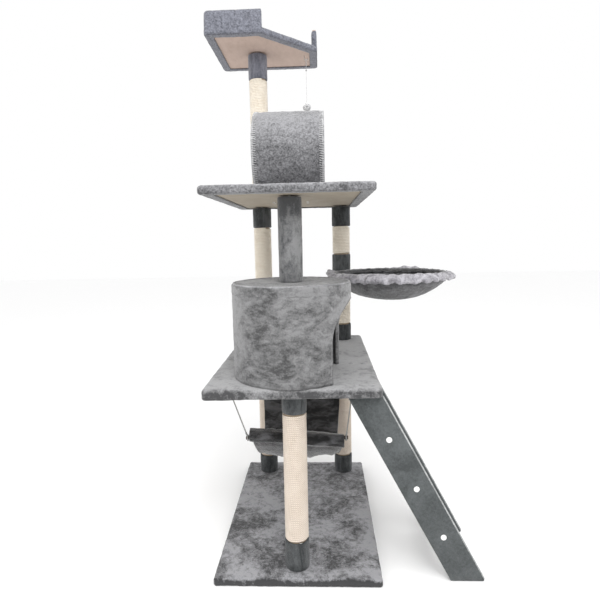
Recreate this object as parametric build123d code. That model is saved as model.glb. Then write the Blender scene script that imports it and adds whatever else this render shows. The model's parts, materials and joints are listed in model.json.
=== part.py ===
from build123d import *
import math
import os

# Cat tree: three plush-covered decks on sisal posts, a round house, a barrel
# tunnel, a walled perch, a slung hammock, a swinging basket, a ladder and a toy.
# Millimetres. +X right, +Y towards the back, +Z up.
# The origin is the centre of the base's underside, on the floor.

# ---------------------------------------------------------------- driving sizes

pile = 4.0                    # plush with its backing, as it lies on a board
deck_corner = 14.0            # corner radius of a deck in plan
top_edge_round = 8.0          # how the plush rounds over the upper edge
bottom_edge_round = 5.0
wrap_border = 36.0            # strip of plush turned under a deck

base_width = 500.0
base_depth = 780.0
base_board = 16.0

lower_deck_overhang = 5.0     # past the base's outline on every side
lower_deck_x = -5.0           # middle of the deck from the middle of the base
lower_deck_y = 4.0
lower_deck_board = 20.0

upper_deck_inset_x = 5.0      # inside the base's outline at each side
upper_deck_inset_y = 8.0
upper_deck_x = -8.0
upper_deck_y = 16.0
upper_deck_board = 18.0

lower_post_length = 549.0
upper_post_length = 546.0
perch_post_length = 567.0
basket_clamp_height = 284.0   # middle of the basket tab above the lower deck

tube_outer = 60.0
tube_wall = 4.0
sisal_thickness = 6.0         # wound on the tube
sleeve_thickness = 7.5
centre_cover_thickness = 7.0
plug_height = 18.0

front_post_x = -4.0
front_post_inset = 69.0       # post's axis from the base's edges
back_post_inset = 74.0
back_left_inset = 93.0
back_right_inset = 85.0

front_sleeves = (90.0, 60.0)  # bottom sleeve, top sleeve
back_sleeves = (76.0, 70.0)
upper_sleeves = (66.0, 79.0)
clamp_sleeve = 68.0           # sleeves above and below the basket tab
perch_sleeves = (66.0, 94.0)

bolt_diameter = 8.0
bolt_clearance = 0.5          # radial, in boards
bolt_head_diameter = 16.0
bolt_head_height = 5.0
washer_diameter = 24.0
washer_thickness = 1.5
head_recess_depth = 4.0
screw_diameter = 5.0
screw_head_diameter = 9.0
screw_head_height = 2.5
screw_tip_cover = 3.0         # wood left above a screw's tip

house_x = -11.0
house_radius = 178.0
house_wall = 4.0
house_height = 259.0          # deck to the underside of the roof
roof_overhang = 6.0
roof_past_deck = 5.0          # the roof stands out over the lower deck's front
roof_board = 22.0
door_turn = -6.0              # degrees from +X, seen from above
door_half_width = 119.0
door_lintel = 20.0            # wall left above the arch
door_arch_rise = 110.0
binding = 4.0
block_depth = 24.0
block_width = 48.0
block_height = 20.0
block_angles = (90, 150, 210, 255)  # round the wall, clear of the doorway

tunnel_length = 240.0
tunnel_x = -22.0
tunnel_to_posts = 246.0       # barrel's axis in front of the back posts
tunnel_radius = 150.0
tunnel_shell = 4.0
tunnel_flat = 12.0            # how much of the round is flattened where it stands
tunnel_binding_width = 8.0
tunnel_floor_board = 12.0
tunnel_floor_width = 150.0
tunnel_screw_inset = 60.0     # from the barrel's ends
tunnel_screw_spacing = 60.0   # across it

perch_past_left = 159.0       # from the perch post's axis to each side
perch_past_right = 235.0
perch_past_front = 218.0
perch_past_back = 178.0
perch_cut_x = 193.0           # corner cut off, along X and along Y
perch_cut_y = 200.0
perch_board = 16.0
perch_wall_top = 85.0         # above the perch's underside
perch_wall_board = 12.0
perch_border = 28.0

rail_thickness = 18.0
rail_width = 101.0            # measured level, along X
rail_run = 305.0              # how far the foot stands out
rail_screw_inset = 30.0       # deck screws from the rail's edges
rail_screw_bite = 28.0
ladder_inset = 33.0           # front rail behind the lower deck's front edge
ladder_width = 268.0
rung_count = 3
rung_first = 140.0            # middle of the lowest rung above the floor
rung_pitch = 150.0
rung_depth = 50.0
rung_thickness = 22.0
cap_diameter = 17.0
cap_height = 2.6
cap_round = 1.5
ladder_screw_length = 52.0

rod_diameter = 12.0
rod_behind_front_post = 121.0
rod_before_back_posts = 101.0
rod_drop = 191.0              # below the lower deck
sling_width = 304.0
sling_thickness = 8.0
sling_sag = 140.0
hem_radius = 20.0
rod_overhang = 13.0
loop_offset = 7.0             # middle of a rod loop outside the sling's edge
hook_left_inset = 35.0        # from the lower deck's left and right edges
hook_right_inset = 72.0
hook_drop = 14.0
hook_wire = 4.0
hook_half_span = 8.0
hook_tip = 6.0
hook_thread = 12.0
cord_diameter = 4.0
loop_clearance = 0.5

basket_arm = 53.34            # post's axis to the ring
basket_house_gap = 64.9       # ruffle to the round house's roof, seen from above
basket_ring_radius = 200.0
basket_wire = 8.0
basket_tab_thickness = 3.0
basket_tab_width = 40.0
tab_eye_inset = 2.0           # inside the tube's outside
tab_slot_clearance = 1.0
pouch_depth = 97.0
pouch_thickness = 6.0
rim_roll = 9.0
ruffle_width = 30.0
ruffle_thickness = 11.0
post_clearance = 7.5          # room round the post's sleeve for the ruffle to turn

toy_right_of_post = 191.0
toy_behind_post = 29.0
toy_hook_drop = 12.0
toy_hook_wire = 2.5
toy_hook_half_span = 6.0
toy_loop_wire = 2.4
toy_loop_length = 38.0
toy_string_diameter = 1.6
toy_link_clearance = 0.4
toy_ball_radius = 18.0
toy_ball_centre = 182.0       # below the hook's bar
toy_string_grip = 6.0

spare = 1.0                   # how far a cutter reaches past what it cuts

# ------------------------------------------------------------------ worked out

lower_deck_width = base_width + 2 * lower_deck_overhang
lower_deck_depth = base_depth + 2 * lower_deck_overhang
lower_deck_left = lower_deck_x - lower_deck_width / 2
lower_deck_right = lower_deck_x + lower_deck_width / 2
lower_deck_front = lower_deck_y - lower_deck_depth / 2
upper_deck_width = base_width - 2 * upper_deck_inset_x
upper_deck_depth = base_depth - 2 * upper_deck_inset_y

base_top = base_board + 2 * pile
lower_deck_bottom = base_top + lower_post_length
lower_deck_top = lower_deck_bottom + lower_deck_board + 2 * pile
upper_deck_bottom = lower_deck_top + upper_post_length
upper_deck_top = upper_deck_bottom + upper_deck_board + 2 * pile
perch_bottom = upper_deck_top + perch_post_length
perch_floor = perch_bottom + perch_board + 2 * pile
basket_level = lower_deck_top + basket_clamp_height
roof_bottom = lower_deck_top + house_height
roof_top = roof_bottom + roof_board + 2 * pile
centre_post_length = upper_deck_bottom - roof_top
hook_level = lower_deck_bottom - hook_drop
toy_bar_level = perch_bottom - toy_hook_drop
bolt_radius = bolt_diameter / 2
hole_radius = bolt_radius + bolt_clearance
sisal_outer = tube_outer + 2 * sisal_thickness
sleeve_outer = tube_outer + 2 * sleeve_thickness
centre_cover_outer = tube_outer + 2 * centre_cover_thickness

front_post_y = front_post_inset - base_depth / 2
back_post_y = base_depth / 2 - back_post_inset
back_left_x = back_left_inset - base_width / 2
back_right_x = base_width / 2 - back_right_inset
roof_radius = house_radius + roof_overhang
house_y = lower_deck_front - roof_past_deck + roof_radius
door_straight = house_height - door_lintel - door_arch_rise
front_post = (front_post_x, front_post_y)
back_left = (back_left_x, back_post_y)
back_right = (back_right_x, back_post_y)
house = (house_x, house_y)

tunnel_y = back_post_y - tunnel_to_posts
tunnel_flat_drop = tunnel_radius - tunnel_flat
perch_left = back_left_x - perch_past_left
perch_right = back_left_x + perch_past_right
perch_front = back_post_y - perch_past_front
perch_back = back_post_y + perch_past_back
ladder_front = lower_deck_front + ladder_inset
ladder_back = ladder_front + ladder_width
rod_front_y = front_post_y + rod_behind_front_post
rod_back_y = back_post_y - rod_before_back_posts
rod_height = lower_deck_bottom - rod_drop
sling_left = lower_deck_x - sling_width / 2
sling_right = lower_deck_x + sling_width / 2
hook_left_x = lower_deck_left + hook_left_inset
hook_right_x = lower_deck_right - hook_right_inset

# The basket's middle is as far from its post as the arm and ring reach, and as far from
# the house's axis as the gap asks, so its direction is the corner of a triangle.
basket_reach = basket_arm + basket_ring_radius
ruffle_outer = basket_ring_radius + rim_roll + ruffle_width
house_reach = roof_radius + basket_house_gap + ruffle_outer
post_to_house = math.hypot(house_x - back_right_x, house_y - back_post_y)
house_direction = math.atan2(house_y - back_post_y, house_x - back_right_x)
reach_squares = basket_reach ** 2 + post_to_house ** 2 - house_reach ** 2
basket_swing = math.acos(reach_squares / (2 * basket_reach * post_to_house))
basket_turn = math.degrees(house_direction + basket_swing)  # from +X, seen from above
basket_x = back_right_x + basket_reach * math.cos(math.radians(basket_turn))
basket_y = back_post_y + basket_reach * math.sin(math.radians(basket_turn))
toy_x = back_left_x + toy_right_of_post
toy_y = back_post_y + toy_behind_post


# --------------------------------------------------------------------- helpers

def block(x0, x1, y0, y1, z0, z1):
    """A box given by its faces."""
    centre = Pos((x0 + x1) / 2, (y0 + y1) / 2, (z0 + z1) / 2)
    return centre * Box(x1 - x0, y1 - y0, z1 - z0)


def upright(place, z0, z1, radius):
    """A standing cylinder."""
    return Pos(place[0], place[1], (z0 + z1) / 2) * Cylinder(radius, z1 - z0)


def sleeve(place, z0, z1, outer_radius, inner_radius):
    """A standing tube."""
    return upright(place, z0, z1, outer_radius) - upright(place, z0, z1, inner_radius)


def along_x(y, z, x0, x1, radius):
    """A cylinder lying along X."""
    return Pos((x0 + x1) / 2, y, z) * Rot(0, 90, 0) * Cylinder(radius, x1 - x0)


def along_y(x, z, y0, y1, radius):
    """A cylinder lying along Y."""
    return Pos(x, (y0 + y1) / 2, z) * Rot(90, 0, 0) * Cylinder(radius, y1 - y0)


def strand(start, end, radius):
    """A straight round cord from one point to another."""
    middle = (Vector(*start) + Vector(*end)) / 2
    run = Vector(*end) - Vector(*start)
    return Plane(origin=middle, z_dir=run) * Cylinder(radius, run.length)


def prism(points, z0, z1):
    """A level outline of straight sides, extruded upwards."""
    outline = make_face(Polyline(*points, close=True))
    return Pos(0, 0, z0) * extrude(outline, z1 - z0)


def save(name, pieces):
    """Write one node. Several pieces stay separate solids in it."""
    solids = []
    for piece in pieces if isinstance(pieces, list) else [pieces]:
        solids.extend(piece.solids())
    shape = solids[0] if len(solids) == 1 else Compound(solids)
    export_step(shape, f"parts/{name}.step")


# ----------------------------------------------------------------------- decks

def covered_deck(width, depth, board, x, y, z, holes, window):
    """A board and the plush cover drawn over it, with bolt holes through both."""
    left, right = x - width / 2, x + width / 2
    front, back = y - depth / 2, y + depth / 2
    top = z + board + 2 * pile
    cover = block(left, right, front, back, z, top)
    cover = fillet(cover.edges().filter_by(Axis.Z), deck_corner)
    cover = fillet(cover.edges().group_by(Axis.Z)[-1], top_edge_round)
    cover = fillet(cover.edges().group_by(Axis.Z)[0], bottom_edge_round)
    core = block(left + pile, right - pile, front + pile, back - pile, z + pile, top - pile)
    core = fillet(core.edges().filter_by(Axis.Z), deck_corner - pile)
    cover -= core
    if window:
        cover -= block(left + wrap_border, right - wrap_border,
                       front + wrap_border, back - wrap_border, z, z + pile)
    for place in holes:
        drill = upright(place, z, top, hole_radius)
        core -= drill
        cover -= drill
    return core, cover


def base():
    """The base, with recesses underneath for the bolt heads."""
    posts = [front_post, back_left, back_right]
    core, cover = covered_deck(base_width, base_depth, base_board, 0, 0, 0, posts, False)
    recess_radius = washer_diameter / 2 + bolt_clearance
    for place in posts:
        core -= upright(place, pile, pile + head_recess_depth, recess_radius)
        cover -= upright(place, 0, pile, recess_radius)
    save("base_board", core)
    save("base_cover", cover)


def lower_deck():
    posts = [front_post, back_left, back_right]
    core, cover = covered_deck(lower_deck_width, lower_deck_depth, lower_deck_board, lower_deck_x,
                               lower_deck_y, lower_deck_bottom, posts, True)
    threads = [hook_thread_hole(x, y) for x in (hook_left_x, hook_right_x)
               for y in (rod_front_y, rod_back_y)]
    for hole in threads + house_screws() + ladder_deck_screws():
        core -= hole
        cover -= hole
    save("lower_deck_board", core)
    save("lower_deck_cover", cover)


def upper_deck():
    posts = [house, back_left, back_right]
    core, cover = covered_deck(upper_deck_width, upper_deck_depth, upper_deck_board, upper_deck_x,
                               upper_deck_y, upper_deck_bottom, posts, True)
    for hole in tunnel_screws():
        core -= hole
        cover -= hole
    save("upper_deck_board", core)
    save("upper_deck_cover", cover)


# ----------------------------------------------------------------------- posts

def post_tube(place, z, length):
    return sleeve(place, z, z + length, tube_outer / 2, tube_outer / 2 - tube_wall)


def post_winding(place, z, length, sleeves):
    """The sisal rope winding between the two end sleeves."""
    return sleeve(place, z + sleeves[0], z + length - sleeves[1], sisal_outer / 2, tube_outer / 2)


def post_sleeves(place, z, length, sleeves):
    bottom = sleeve(place, z, z + sleeves[0], sleeve_outer / 2, tube_outer / 2)
    top = sleeve(place, z + length - sleeves[1], z + length, sleeve_outer / 2, tube_outer / 2)
    return [bottom, top]


def post_plugs(place, z, length):
    """The two wooden end plugs, bored for a bolt or a stud."""
    radius = tube_outer / 2 - tube_wall
    bottom = sleeve(place, z, z + plug_height, radius, bolt_radius)
    top = sleeve(place, z + length - plug_height, z + length, radius, bolt_radius)
    return [bottom, top]


def posts():
    half_tab = basket_tab_thickness / 2
    lower_section = basket_level - half_tab - lower_deck_top
    upper_section = upper_deck_bottom - basket_level - half_tab
    short_lower = (upper_sleeves[0], clamp_sleeve)
    short_upper = (clamp_sleeve, upper_sleeves[1])
    # name, place, foot height, length, (bottom sleeve, top sleeve)
    wound = [
        ("front_lower_post", front_post, base_top, lower_post_length, front_sleeves),
        ("back_left_lower_post", back_left, base_top, lower_post_length, back_sleeves),
        ("back_right_lower_post", back_right, base_top, lower_post_length, back_sleeves),
        ("left_upper_post", back_left, lower_deck_top, upper_post_length, upper_sleeves),
        ("right_upper_post_low", back_right, lower_deck_top, lower_section, short_lower),
        ("right_upper_post_high", back_right, basket_level + half_tab, upper_section, short_upper),
        ("perch_post", back_left, upper_deck_top, perch_post_length, perch_sleeves),
    ]
    sleeves = []
    tubes = [post_tube(house, roof_top, centre_post_length)]
    plugs = post_plugs(house, roof_top, centre_post_length)
    for name, place, foot, length, ends in wound:
        save(f"{name}_sisal", post_winding(place, foot, length, ends))
        tubes.append(post_tube(place, foot, length))
        sleeves.extend(post_sleeves(place, foot, length, ends))
        plugs.extend(post_plugs(place, foot, length))
    save("post_tubes", tubes)
    save("post_sleeves", sleeves)
    save("centre_post_cover", sleeve(house, roof_top, upper_deck_bottom,
                                     centre_cover_outer / 2, tube_outer / 2))
    save("post_end_plugs", plugs)


def bolt(place, seat, end, up):
    """A bolt and its washer. seat is where the washer lies, end is the far tip."""
    way = 1 if up else -1
    under_head = seat - way * washer_thickness
    head_end = under_head - way * bolt_head_height
    shank = upright(place, min(under_head, end), max(under_head, end), bolt_radius)
    head = upright(place, min(under_head, head_end), max(under_head, head_end),
                   bolt_head_diameter / 2)
    washer = sleeve(place, min(seat, under_head), max(seat, under_head),
                    washer_diameter / 2, bolt_radius)
    return shank + head, washer


def fasteners():
    bolts = []
    washers = []
    for place in (front_post, back_left, back_right):
        piece, washer = bolt(place, pile + head_recess_depth, base_top + plug_height, True)
        bolts.append(piece)
        washers.append(washer)
    downward = [
        (front_post, lower_deck_top, lower_deck_bottom),
        (house, upper_deck_top, upper_deck_bottom),
        (back_right, upper_deck_top, upper_deck_bottom),
        (back_left, perch_floor, perch_bottom),
    ]
    for place, seat, deck_underside in downward:
        piece, washer = bolt(place, seat, deck_underside - plug_height, False)
        bolts.append(piece)
        washers.append(washer)
    piece, washer = bolt(house, roof_bottom + pile, roof_top + plug_height, True)
    bolts.append(piece)
    washers.append(washer)
    half_tab = basket_tab_thickness / 2
    joined = [
        (back_left, lower_deck_bottom, lower_deck_top),
        (back_right, lower_deck_bottom, lower_deck_top),
        (back_left, upper_deck_bottom, upper_deck_top),
        (back_right, basket_level - half_tab, basket_level + half_tab),
    ]
    studs = [upright(place, low - plug_height, high + plug_height, bolt_radius)
             for place, low, high in joined]
    save("post_bolts", bolts)
    save("bolt_washers", washers)
    save("joining_studs", studs)
    save("wood_screws", house_screws() + tunnel_screws() + ladder_deck_screws())


# ----------------------------------------------------------------- round house

def door_outline(inset, reach):
    """The arched doorway as a solid that runs out from the house's axis."""
    half = door_half_width - inset
    spring = door_straight
    rise = door_arch_rise - inset
    arch = Pos(0, spring) * Ellipse(half, rise)
    face = arch + Pos(0, spring / 2) * Rectangle(2 * half, spring)
    upright_plane = Plane(origin=(0, 0, 0), x_dir=(0, 1, 0), z_dir=(1, 0, 0))
    solid = extrude(upright_plane * face, reach)
    return Pos(house_x, house_y, lower_deck_top) * Rot(0, 0, door_turn) * solid


def house_wall_ring(outer, inner):
    return sleeve(house, lower_deck_top, roof_bottom, outer, inner)


def house_screws():
    """Screws up through the deck into the blocks."""
    middle = house_radius - pile - house_wall - block_depth / 2
    screws = []
    for angle in block_angles:
        place = (house_x + middle * math.cos(math.radians(angle)),
                 house_y + middle * math.sin(math.radians(angle)))
        board_underside = lower_deck_bottom + pile
        tip = lower_deck_top + block_height - screw_tip_cover
        shank = upright(place, board_underside, tip, screw_diameter / 2)
        head = upright(place, board_underside - screw_head_height, board_underside,
                       screw_head_diameter / 2)
        screws.append(shank + head)
    return screws


def round_house():
    inner_radius = house_radius - pile - house_wall
    doorway = door_outline(0, roof_radius)
    save("house_wall", house_wall_ring(house_radius - pile, inner_radius) - doorway)
    save("house_wall_cover", house_wall_ring(house_radius, house_radius - pile) - doorway)
    rim = doorway - door_outline(binding, roof_radius + binding)
    save("house_door_binding", rim & house_wall_ring(house_radius, inner_radius))

    lid = upright(house, roof_bottom, roof_top, roof_radius)
    lid = fillet(lid.edges().group_by(Axis.Z)[-1], top_edge_round)
    lid = fillet(lid.edges().group_by(Axis.Z)[0], bottom_edge_round)
    drill = upright(house, roof_bottom, roof_top, hole_radius)
    core = upright(house, roof_bottom + pile, roof_top - pile, roof_radius - pile) - drill
    window = upright(house, roof_bottom, roof_bottom + pile, inner_radius - wrap_border / 2)
    save("house_roof_board", core)
    save("house_roof_cover", lid - core - window - drill)

    screws = house_screws()
    blocks = []
    for angle, screw in zip(block_angles, screws):
        raw = block(inner_radius - block_depth, roof_radius, -block_width / 2, block_width / 2,
                    lower_deck_top, lower_deck_top + block_height)
        turned = Pos(house_x, house_y, 0) * Rot(0, 0, angle) * raw
        blocks.append((turned & upright(house, lower_deck_top, roof_bottom, inner_radius)) - screw)
    save("house_blocks", blocks)


# ---------------------------------------------------------------------- tunnel

def barrel(inset, x0, x1):
    """The barrel's outline, flat where it stands, inset from the outside."""
    axis_height = upper_deck_top + tunnel_flat_drop
    full = along_x(tunnel_y, axis_height, x0, x1, tunnel_radius - inset)
    keep = block(x0, x1, tunnel_y - tunnel_radius, tunnel_y + tunnel_radius,
                 upper_deck_top + inset, axis_height + tunnel_radius)
    return full & keep


def tunnel_screws():
    screws = []
    half_pitch = tunnel_length / 2 - tunnel_screw_inset
    for x in (tunnel_x - half_pitch, tunnel_x + half_pitch):
        for y in (tunnel_y - tunnel_screw_spacing / 2, tunnel_y + tunnel_screw_spacing / 2):
            seat = upper_deck_bottom + pile
            floor_top = upper_deck_top + pile + tunnel_shell + tunnel_floor_board
            tip = floor_top - screw_tip_cover
            shank = upright((x, y), seat, tip, screw_diameter / 2)
            head = upright((x, y), seat - screw_head_height, seat, screw_head_diameter / 2)
            screws.append(shank + head)
    return screws


def tunnel():
    x0 = tunnel_x - tunnel_length / 2
    x1 = tunnel_x + tunnel_length / 2
    inner0 = x0 + tunnel_binding_width
    inner1 = x1 - tunnel_binding_width
    inset = pile + tunnel_shell
    skin = barrel(0, inner0, inner1) - barrel(pile, inner0, inner1)
    shell = barrel(pile, inner0, inner1) - barrel(inset, inner0, inner1)
    bindings = [barrel(0, x0, inner0) - barrel(inset, x0, inner0),
                barrel(0, inner1, x1) - barrel(inset, inner1, x1)]
    floor_bottom = upper_deck_top + inset
    board = block(inner0, inner1, tunnel_y - tunnel_floor_width / 2,
                  tunnel_y + tunnel_floor_width / 2, floor_bottom,
                  floor_bottom + tunnel_floor_board)
    board &= barrel(inset, inner0, inner1)
    for screw in tunnel_screws():
        skin -= screw
        shell -= screw
        board -= screw
    save("tunnel_cover", skin)
    save("tunnel_shell", shell)
    save("tunnel_bindings", bindings)
    save("tunnel_floor_board", board)


# ----------------------------------------------------------------------- perch

def perch_outline(inset):
    """The perch in plan, a square with its front right corner cut off."""
    left, right = perch_left + inset, perch_right - inset
    front, back = perch_front + inset, perch_back - inset
    # The cut runs where cut_y * x - cut_x * y = line, moved in by the inset.
    line = (perch_right - perch_cut_x) * perch_cut_y - perch_front * perch_cut_x
    line -= inset * math.hypot(perch_cut_x, perch_cut_y)
    cut_start = ((line + perch_cut_x * front) / perch_cut_y, front)
    cut_end = (right, (perch_cut_y * right - line) / perch_cut_x)
    return [(left, front), cut_start, cut_end, (right, back), (left, back)]


def perch_walls(inset, thickness, z0, z1):
    """The four walls; the cut corner stays open as the way in."""
    outer = perch_outline(inset)
    left, front = outer[0]
    cut_start = outer[1][0]
    right, cut_end = outer[2]
    back = outer[3][1]
    return [
        block(left, cut_start, front, front + thickness, z0, z1),
        block(left, left + thickness, front + thickness, back, z0, z1),
        block(left + thickness, right, back - thickness, back, z0, z1),
        block(right - thickness, right, cut_end, back - thickness, z0, z1),
    ]


def perch():
    drill = upright(back_left, perch_bottom, perch_floor, hole_radius)
    core = prism(perch_outline(pile), perch_bottom + pile, perch_floor - pile)
    core = fillet(core.edges().filter_by(Axis.Z), deck_corner - pile) - drill
    wall_top = perch_bottom + perch_wall_top
    wall_thickness = perch_wall_board + 2 * pile
    slab = prism(perch_outline(0), perch_bottom, perch_floor)
    slab = fillet(slab.edges().filter_by(Axis.Z), deck_corner)
    window = prism(perch_outline(perch_border), perch_bottom, perch_bottom + pile)
    save("perch_board", core)
    save("perch_floor_cover", slab - core - window - drill)

    board_area = extrude(core.faces().sort_by(Axis.Z)[-1], perch_wall_top)
    boards = [piece & board_area
              for piece in perch_walls(pile, perch_wall_board, perch_floor, wall_top - pile)]
    outside = perch_walls(0, wall_thickness, perch_floor, wall_top)
    cover = outside[0] + outside[1] + outside[2] + outside[3]
    cover &= extrude(slab.faces().sort_by(Axis.Z)[-1], perch_wall_top)
    for board in boards:
        cover -= board
    save("perch_wall_boards", boards)
    save("perch_wall_cover", cover)


# ---------------------------------------------------------------------- ladder

def rail_middle(z):
    """Where the middle of a rail stands at a height, along X."""
    top_middle = lower_deck_right - rail_width / 2
    return top_middle + rail_run * (lower_deck_bottom - z) / lower_deck_bottom


def rung_heights():
    return [rung_first + rung_pitch * step for step in range(rung_count)]


def ladder_deck_screws():
    """Two screws down through the deck into the top of each rail."""
    screws = []
    for y in (ladder_front + rail_thickness / 2, ladder_back - rail_thickness / 2):
        for inset in (rail_screw_inset, rail_width - rail_screw_inset):
            x = lower_deck_right - inset
            shank = upright((x, y), lower_deck_bottom - rail_screw_bite, lower_deck_top,
                            screw_diameter / 2)
            head = upright((x, y), lower_deck_top, lower_deck_top + screw_head_height,
                           screw_head_diameter / 2)
            screws.append(shank + head)
    return screws


def ladder():
    profile = [(rail_middle(0) - rail_width / 2, 0), (rail_middle(0) + rail_width / 2, 0),
               (lower_deck_right, lower_deck_bottom),
               (lower_deck_right - rail_width, lower_deck_bottom)]
    face = Plane.XZ * make_face(Polyline(*profile, close=True))
    raw = extrude(face, rail_thickness)
    raw = Pos(0, -raw.bounding_box().min.Y, 0) * raw
    rails = [Pos(0, ladder_front, 0) * raw, Pos(0, ladder_back - rail_thickness, 0) * raw]
    deck_screws = ladder_deck_screws()
    inner_front = ladder_front + rail_thickness
    inner_back = ladder_back - rail_thickness
    rungs = []
    screws = []
    caps = []
    for z in rung_heights():
        x = rail_middle(z)
        rung = block(x - rung_depth / 2, x + rung_depth / 2, inner_front, inner_back,
                     z - rung_thickness / 2, z + rung_thickness / 2)
        pair = [along_y(x, z, ladder_front, ladder_front + ladder_screw_length,
                        screw_diameter / 2),
                along_y(x, z, ladder_back - ladder_screw_length, ladder_back,
                        screw_diameter / 2)]
        for screw in pair:
            rung -= screw
        rungs.append(rung)
        screws.extend(pair)
        caps.append(along_y(x, z, ladder_front - cap_height, ladder_front, cap_diameter / 2))
        caps.append(along_y(x, z, ladder_back, ladder_back + cap_height, cap_diameter / 2))
    for name, rail in zip(("ladder_front_rail", "ladder_back_rail"), rails):
        for screw in screws + deck_screws:
            rail -= screw
        save(name, rail)
    rounded = []
    for cap in caps:
        outer = cap.faces().sort_by(Axis.Y)[0 if cap.center().Y < ladder_front else -1]
        rounded.append(fillet(outer.edges(), cap_round))
    save("ladder_rungs", rungs)
    save("ladder_screws", screws)
    save("ladder_caps", rounded)


# --------------------------------------------------------------------- hammock

def hook_thread_hole(x, y):
    """The part of a hook that is screwed up into the board."""
    return upright((x - hook_half_span, y), lower_deck_bottom, lower_deck_bottom + pile
                   + hook_thread, hook_wire / 2)


def screw_hook(x, y):
    """A hook of bent wire with a level bar along X for the cord's loop."""
    radius = hook_wire / 2
    left, right = x - hook_half_span, x + hook_half_span
    shank = upright((left, y), hook_level, lower_deck_bottom + pile + hook_thread, radius)
    bar = along_x(y, hook_level, left, right, radius)
    tip = upright((right, y), hook_level, hook_level + hook_tip, radius)
    elbows = Pos(left, y, hook_level) * Sphere(radius) + Pos(right, y, hook_level) * Sphere(radius)
    return shank + bar + tip + elbows


def tied_loop(x, y, z, around):
    """A loop of cord tied round a bar that runs along X."""
    ring_radius = around / 2 + loop_clearance + cord_diameter / 2
    return Pos(x, y, z) * Rot(0, 90, 0) * Torus(ring_radius, cord_diameter / 2)


def loop_reach(around):
    return around / 2 + loop_clearance + cord_diameter / 2


def hammock_cords(name, y):
    """Both straight cords of one end, and the loops they are tied in."""
    loops = []
    for side, hook_x, rod_x in (("left", hook_left_x, sling_left - loop_offset),
                                ("right", hook_right_x, sling_right + loop_offset)):
        top = Vector(hook_x, y, hook_level)
        bottom = Vector(rod_x, y, rod_height)
        down = (bottom - top).normalized()
        start = top + down * loop_reach(hook_wire)
        end = bottom - down * loop_reach(rod_diameter)
        cord = strand(tuple(start), tuple(end), cord_diameter / 2)
        save(f"hammock_{name}_{side}_cord", cord)
        loops.append(tied_loop(hook_x, y, hook_level, hook_wire))
        loops.append(tied_loop(rod_x, y, rod_height, rod_diameter))
        print(f"hammock {name} {side} cord, straight: {(end - start).length:.1f} mm")
    save(f"hammock_{name}_loops", loops)


def sling():
    """The cloth: a hem round each rod and a hanging arc between them."""
    half_span = (rod_back_y - rod_front_y) / 2
    middle_y = (rod_back_y + rod_front_y) / 2
    radius = (half_span ** 2 + sling_sag ** 2) / (2 * sling_sag)
    centre_z = rod_height - sling_sag + radius
    half = sling_thickness / 2
    band = (along_x(middle_y, centre_z, sling_left, sling_right, radius + half)
            - along_x(middle_y, centre_z, sling_left, sling_right, radius - half))
    below_rods = block(sling_left, sling_right, rod_front_y, rod_back_y,
                       rod_height - sling_sag - sling_thickness, rod_height)
    cloth = band & below_rods
    for y in (rod_front_y, rod_back_y):
        cloth += along_x(y, rod_height, sling_left, sling_right, hem_radius)
    for y in (rod_front_y, rod_back_y):
        cloth -= along_x(y, rod_height, sling_left, sling_right, rod_diameter / 2)
    return cloth


def hammock():
    save("hammock_sling", sling())
    left = sling_left - rod_overhang
    right = sling_right + rod_overhang
    save("hammock_front_rod", along_x(rod_front_y, rod_height, left, right, rod_diameter / 2))
    save("hammock_back_rod", along_x(rod_back_y, rod_height, left, right, rod_diameter / 2))
    hammock_cords("front", rod_front_y)
    hammock_cords("back", rod_back_y)
    save("hammock_hooks", [screw_hook(x, y) for x in (hook_left_x, hook_right_x)
                           for y in (rod_front_y, rod_back_y)])


# ---------------------------------------------------------------------- basket

def basket_tab(width, thickness):
    """The flat tab from the post's stud to the ring."""
    arm = block(0, basket_arm, -width / 2, width / 2, -thickness / 2, thickness / 2)
    eye = Cylinder(tube_outer / 2 - tab_eye_inset, thickness)
    return Pos(back_right_x, back_post_y, basket_level) * Rot(0, 0, basket_turn) * (arm + eye)


def basket():
    ring_place = Pos(basket_x, basket_y, basket_level)
    wire = ring_place * Torus(basket_ring_radius, basket_wire / 2)
    stud_hole = upright(back_right, basket_level - basket_tab_thickness,
                        basket_level + basket_tab_thickness, hole_radius)
    save("basket_ring", (wire + basket_tab(basket_tab_width, basket_tab_thickness)) - stud_hole)

    bowl_radius = (basket_ring_radius ** 2 + pouch_depth ** 2) / (2 * pouch_depth)
    centre = Pos(basket_x, basket_y, basket_level - pouch_depth + bowl_radius)
    below = upright((basket_x, basket_y), basket_level - pouch_depth - spare, basket_level,
                    basket_ring_radius + spare)
    bowl = (centre * Sphere(bowl_radius) - centre * Sphere(bowl_radius - pouch_thickness)) & below
    rolled = ring_place * Torus(basket_ring_radius, rim_roll)
    slot = basket_tab(basket_tab_width + 2 * tab_slot_clearance,
                      basket_tab_thickness + 2 * tab_slot_clearance)
    save("basket_pouch", (bowl + rolled) - wire - slot)

    place = (basket_x, basket_y)
    frill = sleeve(place, basket_level - ruffle_thickness / 2, basket_level + ruffle_thickness / 2,
                   ruffle_outer, basket_ring_radius + rim_roll)
    notch = upright(back_right, basket_level - ruffle_thickness,
                    basket_level + ruffle_thickness, sleeve_outer / 2 + post_clearance)
    save("basket_ruffle", frill - notch - slot)


# ------------------------------------------------------------------------- toy

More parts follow.
